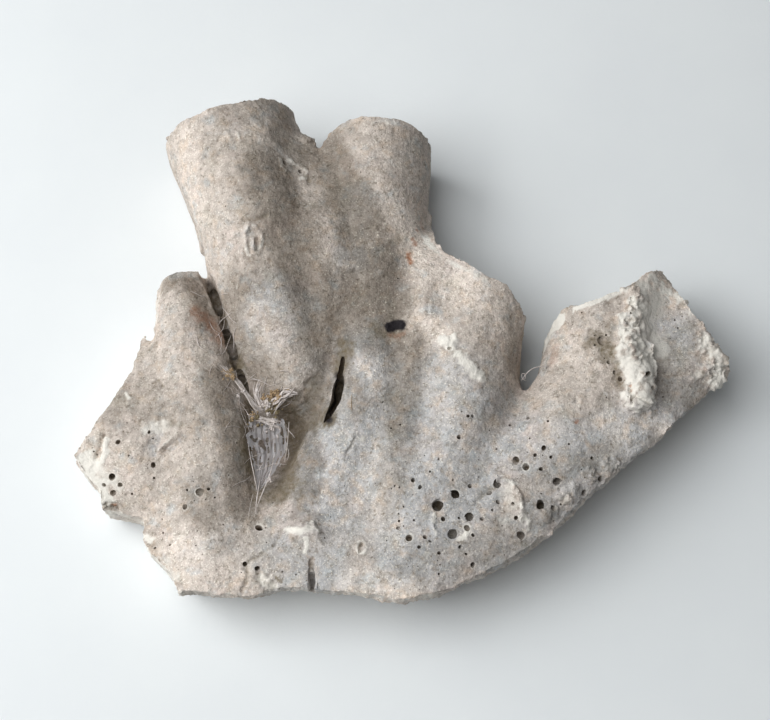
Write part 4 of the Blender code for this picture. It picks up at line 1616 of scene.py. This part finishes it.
class Board:
    """Lays out the nodes of one material."""

    def __init__(self, name: str) -> None:
        """Makes a new material with nothing but its shader.

        Args:
            name: What the material is called.
        """
        self.material = bpy.data.materials.new(name)
        self.material.use_nodes = True
        self.tree = self.material.node_tree
        self.shader = self.tree.nodes["Principled BSDF"]
        self.place = self.tree.nodes.new("ShaderNodeTexCoord").outputs["Object"]

    def put(self, socket: bpy.types.NodeSocket, value: object) -> None:
        """Links a socket to another node's output, or sets its value."""
        if isinstance(value, bpy.types.NodeSocket):
            self.tree.links.new(value, socket)
        else:
            socket.default_value = value

    def noise(self, size: float, detail: float = 2.0, rough: float = 0.55, stretch: object = None) -> object:
        """Returns an even noise whose lumps are about this many millimetres across."""
        node = self.tree.nodes.new("ShaderNodeTexNoise")
        self.put(node.inputs["Vector"], stretch or self.place)
        node.inputs["Scale"].default_value = 1 / (size * MM)
        node.inputs["Detail"].default_value = detail
        node.inputs["Roughness"].default_value = rough
        return node.outputs["Fac"]

    def cells(self, size: float) -> object:
        """Returns the distance to the nearest of many scattered points, this many millimetres apart."""
        node = self.tree.nodes.new("ShaderNodeTexVoronoi")
        self.put(node.inputs["Vector"], self.place)
        node.inputs["Scale"].default_value = 1 / (size * MM)
        return node.outputs["Distance"]

    def tone(self, tone: Tone) -> object:
        """Returns how strongly the mesh has a tone."""
        node = self.tree.nodes.new("ShaderNodeAttribute")
        node.attribute_name = tone.value
        return node.outputs["Fac"]

    def spread(self, value: object, low: float, high: float, start: float = 0.0, end: float = 1.0) -> object:
        """Returns the value with low to high stretched to start to end, and held there beyond."""
        node = self.tree.nodes.new("ShaderNodeMapRange")
        self.put(node.inputs["Value"], value)
        node.inputs["From Min"].default_value = low
        node.inputs["From Max"].default_value = high
        node.inputs["To Min"].default_value = start
        node.inputs["To Max"].default_value = end
        return node.outputs["Result"]

    def math(self, operation: str, one: object, other: object) -> object:
        """Returns the result of one sum on two values, such as ADD or MULTIPLY."""
        node = self.tree.nodes.new("ShaderNodeMath")
        node.operation = operation
        self.put(node.inputs[0], one)
        self.put(node.inputs[1], other)
        return node.outputs["Value"]

    def mix(self, share: object, one: object, other: object, blend: str = "MIX") -> object:
        """Returns a colour between two colours, each a socket or red, green and blue."""
        node = self.tree.nodes.new("ShaderNodeMix")
        node.data_type = "RGBA"
        node.blend_type = blend
        self.put(node.inputs[0], share)
        for socket, colour in zip(node.inputs[6:8], (one, other)):
            self.put(socket, (*colour, 1.0) if isinstance(colour, tuple) else colour)
        return node.outputs[2]

    def bump(self, height: object, strength: float, depth: float, below: object = None) -> object:
        """Returns a facing that is disturbed by a height, over another bump if there is one."""
        node = self.tree.nodes.new("ShaderNodeBump")
        node.inputs["Strength"].default_value = strength
        node.inputs["Distance"].default_value = depth * MM
        self.put(node.inputs["Height"], height)
        if below:
            self.put(node.inputs["Normal"], below)
        return node.outputs["Normal"]


@dataclass(frozen=True)
class Patch:
    """A colour that shows in scattered patches.

    Attributes:
        colour: Red, green and blue in linear light.
        noise: How many millimetres the patches are across, and how ragged they are.
        levels: The noise's levels where a patch begins and where it is strongest, and its strength at each.
    """

    colour: Colour
    noise: Levels
    levels: Levels


@dataclass(frozen=True)
class Chalk:
    """The coral's weathered chalky finish. Each colour is red, green and blue in linear light.

    Attributes:
        warm, cool: The skin's main colour, and its greyer one.
        patches: Patches of pink, olive, tan and blue on it.
        mottle_shades: What the mottle multiplies the colour by, from its dark to its pale.
        dark_grain, pale_grain: The colours of the flecks and of the fine grains.
        grime_and_shade, worn_and_lit: What full grime with painted shade, and full wear with painted light,
            multiply the colour by.
        salt, fresh, stain, rust, soot_and_shade, bored: The colours of those tones. The black is also
        painted shade in the crevices, and the bored colour painted shade deep in the holes.
        broad_noise to mottle_noise: The size, detail and roughness of each noise.
        pit_size, salt_size: How far apart the pits are, and the grains of salt.
        cool_drift to salt_drift: Two levels of a noise, and how far it shifts a tone at each.
        cool_levels to stain_levels: Where a tone begins and is full, and how strong it is at each.
        stain_flecks, soot_and_shade_flecks: How the flecks break up a stain, and the black.
        roughness, sheen: How matt the skin is, and how much it reflects.
        bump_noise: The size, detail and roughness of the fine relief.
        bump, fine_bump: How strong and how deep that relief is, and that of the grains.
    """

    warm: Colour = (0.56, 0.49, 0.435)
    cool: Colour = (0.47, 0.463, 0.462)
    patches: tuple[Patch, ...] = (
        Patch((0.62, 0.51, 0.46), (5.0, 3.0), (0.5, 0.72, 0.0, 0.45)),
        Patch((0.37, 0.33, 0.25), (3.4, 4.0), (0.54, 0.74, 0.0, 0.4)),
        Patch((0.58, 0.46, 0.36), (1.9, 3.0), (0.52, 0.7, 0.0, 0.6)),
        Patch((0.46, 0.49, 0.50), (2.3, 3.0), (0.55, 0.72, 0.0, 0.6)),
    )
    mottle_shades: tuple[Colour, Colour] = ((0.76, 0.755, 0.75), (1.19, 1.19, 1.2))
    dark_grain: Colour = (0.22, 0.185, 0.145)
    pale_grain: Colour = (0.92, 0.87, 0.78)
    grime_and_shade: Colour = (0.52, 0.505, 0.48)
    worn_and_lit: Colour = (1.42, 1.42, 1.42)
    salt: Colour = (0.80, 0.74, 0.62)
    fresh: Colour = (0.86, 0.82, 0.75)
    stain: Colour = (0.17, 0.135, 0.085)
    rust: Colour = (0.36, 0.14, 0.06)
    soot_and_shade: Colour = (0.012, 0.01, 0.014)
    bored: Colour = (0.16, 0.125, 0.085)
    broad_noise: Levels = (9.0, 3.0)
    patch_noise: Levels = (2.6, 3.0)
    fleck_noise: Levels = (0.55, 3.0, 0.6)
    fine_noise: Levels = (0.24, 2.0, 0.6)
    mottle_noise: Levels = (1.2, 4.0, 0.6)
    pit_size: float = 1.1
    salt_size: float = 0.7
    cool_drift: Levels = (0.3, 0.7, -0.35, 0.35)
    fresh_drift: Levels = (0.3, 0.7, -0.3, 0.3)
    grime_and_shade_drift: Levels = (0.3, 0.7, -0.22, 0.22)
    salt_drift: Levels = (0.3, 0.7, 0.16, -0.1)
    cool_levels: Levels = (0.15, 0.95)
    mottle_levels: Levels = (0.32, 0.68)
    fleck_levels: Levels = (0.53, 0.72, 0.0, 0.8)
    grain_levels: Levels = (0.54, 0.72, 0.0, 0.7)
    pit_levels: Levels = (0.05, 0.13, 0.65, 0.0)
    grime_and_shade_levels: Levels = (0.05, 0.95)
    salt_levels: Levels = (0.08, 0.2, 0.75, 0.0)
    fresh_levels: Levels = (0.25, 0.75, 0.0, 0.92)
    stain_levels: Levels = (0.0, 1.0, 0.0, 0.96)
    stain_flecks: Levels = (0.3, 0.7, 0.55, 1.25)
    soot_and_shade_flecks: Levels = (0.3, 0.7, 0.95, 1.25)
    roughness: float = 0.92
    sheen: float = 0.2
    bump_noise: Levels = (0.5, 4.0, 0.65)
    bump: tuple[float, float] = (0.8, 0.26)
    fine_bump: tuple[float, float] = (0.6, 0.12)

    def make(self) -> bpy.types.Material:
        """Returns the finished material."""
        board = Board("weathered_coral")
        patch = board.noise(*self.patch_noise)
        fleck = board.noise(*self.fleck_noise)
        fine = board.noise(*self.fine_noise)
        mottle = board.noise(*self.mottle_noise)
        colour = self.skin(board, mottle)
        colour = board.mix(board.spread(fleck, *self.fleck_levels), colour, self.dark_grain)
        colour = board.mix(board.spread(fine, *self.grain_levels), colour, self.pale_grain)
        colour = board.mix(board.spread(board.cells(self.pit_size), *self.pit_levels), colour, self.stain)
        # Painted shade and grime: darker in the valleys and on the right flank of each branch
        grime_and_shade = board.math("ADD", board.tone(Tone.GRIME_AND_SHADE), board.spread(patch, *self.grime_and_shade_drift))
        colour = board.mix(board.spread(grime_and_shade, *self.grime_and_shade_levels), colour, self.grime_and_shade, "MULTIPLY")
        # Painted light and wear: paler on the crests and slopes that face the light
        colour = board.mix(board.tone(Tone.WORN_AND_LIT), colour, self.worn_and_lit, "MULTIPLY")
        grains = board.math("ADD", board.cells(self.salt_size), board.spread(mottle, *self.salt_drift))
        salt = board.math("MULTIPLY", board.tone(Tone.SALT), board.spread(grains, *self.salt_levels))
        colour = board.mix(salt, colour, self.salt)
        fresh = board.math("ADD", board.tone(Tone.FRESH), board.spread(patch, *self.fresh_drift))
        colour = board.mix(board.spread(fresh, *self.fresh_levels), colour, self.fresh)
        for tone, paint, flecks in (
            (Tone.STAIN, self.stain, self.stain_flecks),
            (Tone.RUST, self.rust, self.stain_flecks),
            (Tone.SOOT_AND_SHADE, self.soot_and_shade, self.soot_and_shade_flecks),
            (Tone.BORE, self.bored, self.stain_flecks),
        ):
            broken_up = board.math("MULTIPLY", board.spread(fleck, *flecks), board.tone(tone))
            colour = board.mix(board.spread(broken_up, *self.stain_levels), colour, paint)
        board.put(board.shader.inputs["Base Color"], colour)
        board.shader.inputs["Roughness"].default_value = self.roughness
        board.shader.inputs["Specular IOR Level"].default_value = self.sheen
        relief = board.bump(board.noise(*self.bump_noise), *self.bump)
        board.put(board.shader.inputs["Normal"], board.bump(fine, *self.fine_bump, relief))
        return board.material

    def skin(self, board: Board, mottle: object) -> object:
        """Returns the colour of the plain skin.

        Args:
            board: The material's board.
            mottle: The noise of the mottle.
        """
        drift = board.spread(board.noise(*self.broad_noise), *self.cool_drift)
        cool = board.math("ADD", board.tone(Tone.COOL), drift)
        colour = board.mix(board.spread(cool, *self.cool_levels), self.warm, self.cool)
        for patch in self.patches:
            share = board.spread(board.noise(*patch.noise), *patch.levels)
            colour = board.mix(share, colour, patch.colour)
        shade = board.mix(board.spread(mottle, *self.mottle_levels), *self.mottle_shades)
        return board.mix(1.0, colour, shade, "MULTIPLY")


@dataclass(frozen=True)
class Silk:
    """The finish of the web and the hairs. Each colour is red, green and blue in linear light.

    Attributes:
        pale, dust, film, tan, olive: Clean strands, the dust on them, the sheet, and two sorts of debris.
        dust_noise, streak_noise: The size, detail and roughness of the dust, and of the sheet's streaks.
        dust_levels: Where the dust begins and is full, and how strong it is at each.
        lengthwise: The scale of the streaks' noise on each axis, which stretches them.
        streak_levels: The streaks' levels where the sheet is least and most see-through.
        film_see_through, see_through: How see-through it is there, and everything else.
        bending, roughness: How much light bends in it, and how matt it is.
    """

    pale: Colour = (0.74, 0.68, 0.66)
    dust: Colour = (0.50, 0.43, 0.37)
    film: Colour = (0.70, 0.68, 0.69)
    tan: Colour = (0.43, 0.31, 0.19)
    olive: Colour = (0.26, 0.21, 0.13)
    dust_noise: Levels = (0.5, 3.0)
    dust_levels: Levels = (0.35, 0.7, 0.0, 0.8)
    lengthwise: tuple[float, float, float] = (1.0, 0.15, 1.0)
    streak_noise: Levels = (0.3, 3.0, 0.6)
    streak_levels: tuple[float, float] = (0.35, 0.65)
    film_see_through: tuple[float, float] = (0.42, 0.84)
    see_through: float = 0.1
    bending: float = 1.06
    roughness: float = 0.6

    def make(self) -> bpy.types.Material:
        """Returns the finished material."""
        board = Board("dried_silk")
        dusty = board.spread(board.noise(*self.dust_noise), *self.dust_levels)
        colour = board.mix(dusty, self.pale, self.dust)
        for tone, paint in ((Tone.COOL, self.film), (Tone.RUST, self.tan), (Tone.STAIN, self.olive)):
            colour = board.mix(board.tone(tone), colour, paint)
        board.put(board.shader.inputs["Base Color"], colour)
        board.shader.inputs["Roughness"].default_value = self.roughness
        stretched = board.tree.nodes.new("ShaderNodeMapping")
        board.put(stretched.inputs["Vector"], board.place)
        stretched.inputs["Scale"].default_value = self.lengthwise
        streak = board.noise(*self.streak_noise, stretched.outputs["Vector"])
        clear = board.spread(streak, *self.streak_levels, *self.film_see_through)
        sheer = board.math("MULTIPLY", board.tone(Tone.COOL), clear)
        through = board.math("ADD", sheer, self.see_through)
        board.put(board.shader.inputs["Transmission Weight"], through)
        board.shader.inputs["IOR"].default_value = self.bending
        return board.material


@dataclass(frozen=True)
class Veil:
    """The torn, creased sheet of the web. Its uneven values are read at places across and down it.

    Attributes:
        steps: How many cells it has across and down.
        thickness: How thick it is.
        creases, small_tears, large_tears: How many lumps each of these patterns has across and down, and
            a number that sets it apart from the others.
        crease: How high the creases are.
        sag: How far its middle hangs.
        large_gain: How much likelier a large tear is.
        tear: Above this unevenness the sheet is torn away.
        rim: How fast the sheet gets sounder from its sides inwards, and how sound it is there.
        top: How fast it gets sounder from its top down, and how far it lacks there.
    """

    steps: tuple[int, int] = (48, 100)
    thickness: float = 0.05
    creases: tuple[float, float, float] = (7.0, 1.6, 0.0)
    crease: float = 0.35
    sag: float = 0.3
    small_tears: tuple[float, float, float] = (11.0, 4.0, 7.0)
    large_tears: tuple[float, float, float] = (4.0, 6.0, 3.0)
    large_gain: float = 0.05
    tear: float = 0.52
    rim: tuple[float, float] = (4.0, 0.05)
    top: tuple[float, float] = (5.0, 0.3)

    def build(self, skin: Skin) -> bpy.types.Object:
        """Makes the sheet just above the skin.

        Args:
            skin: The coral's surface.

        Returns:
            The sheet as a closed mesh.
        """
        deselect_all()
        across, down = self.steps
        bpy.ops.mesh.primitive_grid_add(x_subdivisions=across, y_subdivisions=down, size=1)
        sheet = bpy.context.object
        grid = points_of(sheet) * MM
        share = np.clip(grid[:, 0] + 0.5, 0, 1)
        level = np.clip(0.5 - grid[:, 1], 0, 1)
        stops = np.linspace(0, 1, len(VEIL_LEFT))
        left, right = (
            points_along(np.array([skin.over(*place) for place in side]), stops, level)
            for side in (VEIL_LEFT, VEIL_RIGHT)
        )
        points = left * (1 - share[:, None]) + right * share[:, None]
        bulge = np.sin(np.pi * share)
        points[:, 2] += self.crease * self.unevenness(share, level, self.creases) * bulge - self.sag * bulge
        move_points(sheet, points)
        torn = self.unevenness(share, level, self.small_tears)
        torn = np.maximum(torn, self.large_gain + self.unevenness(share, level, self.large_tears))
        sides = np.minimum(share, 1 - share) * self.rim[0] + self.rim[1]
        gone = (torn > self.tear) | (torn > sides) | (torn > level * self.top[0] - self.top[1])
        edit(sheet)
        bpy.ops.mesh.select_all(action="DESELECT")
        leave_edit()
        sheet.data.vertices.foreach_set("select", gone)
        bpy.ops.object.mode_set(mode="EDIT")
        bpy.ops.mesh.delete(type="VERT")
        leave_edit()
        finish_with(sheet, "SOLIDIFY", thickness=self.thickness * MM, offset=0.0)
        return sheet

    def unevenness(
        self, share: np.ndarray, level: np.ndarray, scale: tuple[float, float, float]
    ) -> np.ndarray:
        """Returns an uneven value at each place of the sheet.

        Args:
            share: How far across the sheet each place is, from 0 to 1.
            level: How far down it each is, from 0 to 1.
            scale: How many lumps there are across and down, and a number that sets one pattern apart.
        """
        wide, tall, aside = scale
        return lumpy(np.stack([share * wide, level * tall, level * 0 + aside], axis=1), 1.0)


@dataclass
class Web:
    """The dried web that hangs in the hollow: strands, a torn sheet, fine fibres and crumbs of debris.

    Attributes:
        skin: The coral's surface, which everything stays above.
        seed: The seed of its irregularities.
        clearance: The least gap between a strand and the skin.
        strand_end, strand_swell: A strand's thickness at its ends, and the limits between them, as shares.
        strand_roundness: How finely a strand's section is divided.
        shading_angle: The least angle of an edge that shades as a crisp one, in degrees.
        thread_limit: The least radius of a strand that is split into threads.
        thread_count: How many threads a strand splits into.
        thread_rise: How far the threads stray up and down.
        thread_radii: The least and greatest radius of a thread, as shares of the strand's.
        fibre_radii: The least and greatest radius of the fine fibres.
        fibre_lengths: Their least and greatest length, in pixels.
        fibre_points: How many points a fibre's line has.
        fibre_turn: How far it may turn at each point, in radians.
        fibre_height: How high above the floor the fibres lie, or just above the skin where that is higher.
        crumb_radii, crumb_rise: The limits of the crumbs' radius, and how far they stray up and down.
        crumb_grain, crumb_rough: The size of the lumps on a crumb, and their height in radii.
        crumb_fineness: How often a crumb's faces are divided.
    """

    skin: Skin
    seed: int = 5
    clearance: float = 0.05
    strand_end: float = 0.45
    strand_swell: tuple[float, float] = (0.75, 1.3)
    strand_roundness: int = 1
    shading_angle: float = 60.0
    thread_limit: float = 0.12
    thread_count: int = 9
    thread_rise: float = 0.1
    thread_radii: tuple[float, float] = (0.18, 0.5)
    fibre_radii: tuple[float, float] = (0.03, 0.055)
    fibre_lengths: tuple[float, float] = (8, 24)
    fibre_points: int = 4
    fibre_turn: float = 0.7
    fibre_height: float = 11.2
    crumb_radii: tuple[float, float] = (0.1, 0.3)
    crumb_rise: float = 0.3
    crumb_grain: float = 0.16
    crumb_rough: float = 3.0
    crumb_fineness: int = 3

    def build(self) -> list[bpy.types.Object]:
        """Returns the finished web and the stray hairs, as one mesh each."""
        dice = np.random.default_rng(self.seed)
        strands = [self.strand(thread, dice) for strand in STRANDS for thread in self.threads(strand, dice)]
        film = self.coloured(Veil().build(self.skin), Tone.COOL)
        web = self.joined("fine_dried_web", [*strands, film, *self.fibres(dice), *self.crumbs(dice)])
        hairs = self.joined("stray_hairs", [self.strand(strand, dice) for strand in STRAY_HAIRS])
        return [web, hairs]

    def joined(self, name: str, parts: list[bpy.types.Object]) -> bpy.types.Object:
        """Returns the parts as one smooth mesh, with its place in its points."""
        whole = pick(*parts)
        bpy.ops.object.join()
        bpy.ops.object.transform_apply(location=True, rotation=True, scale=True)
        bpy.ops.object.shade_smooth_by_angle(angle=math.radians(self.shading_angle))
        whole.name = name
        log.info("%s: %d triangles", name, triangles_of(whole))
        return whole

    def coloured(self, obj: bpy.types.Object, tone: Tone | None) -> bpy.types.Object:
        """Gives a whole part its tone."""
        for kind in (Tone.RUST, Tone.STAIN, Tone.COOL):
            weigh(obj, kind, np.full(len(obj.data.vertices), float(kind is tone)))
        return obj

    def threads(self, strand: Strand, dice: np.random.Generator) -> list[Strand]:
        """Splits a thick strand into the loose threads that it is twisted from."""
        if strand.thickness < self.thread_limit:
            return [strand]
        loose = strand.thickness / PIXEL
        spread = (loose, loose, self.thread_rise)
        made = []
        for _ in range(self.thread_count):
            path = tuple(
                tuple(value + dice.normal(0, wide) for value, wide in zip(place, spread))
                for place in strand.path
            )
            thickness = strand.thickness * dice.uniform(*self.thread_radii)
            made.append(Strand(path, thickness, strand.tone))
        return made

    def strand(self, strand: Strand, dice: np.random.Generator) -> bpy.types.Object:
        """Makes one strand: a path with a round section that thins towards its ends.

        Args:
            strand: Its line, thickness and tone.
            dice: The source of its small irregularities.

        Returns:
            The strand as a closed mesh.
        """
        places = [self.skin.over(*place, lift=strand.thickness + self.clearance) for place in strand.path]
        ends = (0, len(places) - 1)

        def swell(index: int) -> float:
            """Returns the share of the thickness at a point."""
            return self.strand_end if index in ends else dice.uniform(*self.strand_swell)

        made = nurbs_tube(places, strand.thickness, swell, self.strand_roundness)
        return self.coloured(made, strand.tone)

    def fibres(self, dice: np.random.Generator) -> list[bpy.types.Object]:
        """Makes the fine fibres, each a short wavy line across its field."""
        made = []
        for left, top, right, bottom, count in FIBRE_FIELDS:
            for _ in range(count):
                across, down = dice.uniform(left, right), dice.uniform(top, bottom)
                turn, length = dice.uniform(0, math.tau), dice.uniform(*self.fibre_lengths)
                path = []
                for _ in range(self.fibre_points):
                    path.append((across, down, self.fibre_height))
                    turn += dice.uniform(-self.fibre_turn, self.fibre_turn)
                    across += math.cos(turn) * length / (self.fibre_points - 1)
                    down += math.sin(turn) * length / (self.fibre_points - 1)
                made.append(self.strand(Strand(tuple(path), dice.uniform(*self.fibre_radii)), dice))
        return made

    def crumbs(self, dice: np.random.Generator) -> list[bpy.types.Object]:
        """Makes the crumbs of debris, each a small rough lump."""
        made = []
        rough = texture("CLOUDS", "crumb", noise_scale=self.crumb_grain * MM, noise_depth=2)
        for across, down, height, spread, count, tone in CRUMBS:
            for _ in range(count):
                side, fall = dice.normal(0, spread / 2, 2)
                radius = dice.uniform(*self.crumb_radii)
                rise = dice.uniform(-self.crumb_rise, self.crumb_rise)
                place = self.skin.over(across + side, down + fall, height + rise, radius)
                deselect_all()
                bpy.ops.mesh.primitive_ico_sphere_add(
                    subdivisions=self.crumb_fineness, radius=radius * MM, location=place * MM
                )
                crumb = bpy.context.object
                bpy.ops.object.transform_apply(location=True, rotation=True, scale=True)
                finish_with(
                    crumb,
                    "DISPLACE",
                    texture=rough,
                    texture_coords="LOCAL",
                    strength=radius * self.crumb_rough * MM,
                    mid_level=0.5,
                )
                made.append(self.coloured(crumb, tone))
        return made


@dataclass
class Studio:
    """The paper that the coral lies on, the two windows on its left and the light of the room.

    Attributes:
        paper_size: The width of the paper.
        paper_shades: The paper's darker and lighter colour.
        paper_noise, paper_grain: The size and detail of its cloudiness, and of its fine relief.
        paper_levels: Where the cloudiness turns from darker to lighter.
        paper_roughness, paper_sheen: How matt it is, and how much it reflects.
        paper_bump: How strong and how deep its relief is.
        windows: Each window's place and its power in watts.
        window_size, window_colour: The width of each window, and the colour of its light.
        room_colour, room_strength: The colour of the room's own light, and how bright it is.
    """

    paper_size: float = 1500.0
    paper_shades: tuple[Colour, Colour] = ((0.81, 0.835, 0.85), (0.83, 0.855, 0.865))
    paper_noise: Levels = (14.0, 3.0)
    paper_levels: Levels = (0.3, 0.7)
    paper_roughness: float = 0.9
    paper_sheen: float = 0.15
    paper_grain: Levels = (0.6, 3.0)
    paper_bump: tuple[float, float] = (0.25, 0.06)
    windows: tuple[tuple[tuple[float, float, float], float], ...] = (
        ((-400.0, 40.0, 240.0), 1.6),
        ((-200.0, -40.0, 420.0), 1.6),
    )
    window_size: float = 420.0
    window_colour: Colour = (0.985, 1.0, 1.0)
    room_colour: Colour = (0.93, 0.97, 1.0)
    room_strength: float = 0.1

    def build(self) -> None:
        """Adds the paper, the lights and the camera."""
        self.lay_paper()
        for place, power in self.windows:
            self.open_window(Vector(place), power)
        world = bpy.data.worlds.new("room")
        world.use_nodes = True
        sky = world.node_tree.nodes["Background"]
        sky.inputs["Color"].default_value = (*self.room_colour, 1.0)
        sky.inputs["Strength"].default_value = self.room_strength
        bpy.context.scene.world = world
        bpy.context.scene.view_settings.view_transform = "Standard"
        PHOTO.make()

    def lay_paper(self) -> None:
        """Lays the pale paper on the floor."""
        deselect_all()
        bpy.ops.mesh.primitive_plane_add(size=self.paper_size * MM)
        paper = bpy.context.object
        paper.name = "paper"
        board = Board("pale_paper")
        tint = board.spread(board.noise(*self.paper_noise), *self.paper_levels)
        board.put(board.shader.inputs["Base Color"], board.mix(tint, *self.paper_shades))
        board.shader.inputs["Roughness"].default_value = self.paper_roughness
        board.shader.inputs["Specular IOR Level"].default_value = self.paper_sheen
        grain = board.bump(board.noise(*self.paper_grain), *self.paper_bump)
        board.put(board.shader.inputs["Normal"], grain)
        paper.data.materials.append(board.material)

    def open_window(self, place: Vector, power: float) -> None:
        """Adds one soft square light that faces the coral.

        Args:
            place: The light's middle, in millimetres.
            power: Its power in watts.
        """
        light = bpy.data.lights.new("window", "AREA")
        light.shape = "SQUARE"
        light.size = self.window_size * MM
        light.energy = power
        light.color = self.window_colour
        window = bpy.data.objects.new("window", light)
        bpy.context.scene.collection.objects.link(window)
        window.location = place * MM
        window.rotation_euler = (-place).to_track_quat("-Z", "Y").to_euler()


def main() -> None:
    """Builds the coral, its web and its surroundings around the frame."""
    logging.basicConfig(level=logging.INFO, format="%(message)s")
    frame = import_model()
    coral = Coral()
    chalk, silk = Chalk().make(), Silk().make()
    finished = [(piece, chalk) for piece in coral.build(frame)]
    finished += [(piece, silk) for piece in Web(coral.skin).build()]
    for piece, finish in finished:
        node = piece.name.removeprefix("fine_")
        piece.data.materials.clear()
        piece.data.materials.append(finish)
        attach(piece, "root")
        if node in frame["nodes"]:
            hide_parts(node)
    Studio().build()


if __name__ == "__main__":
    main()
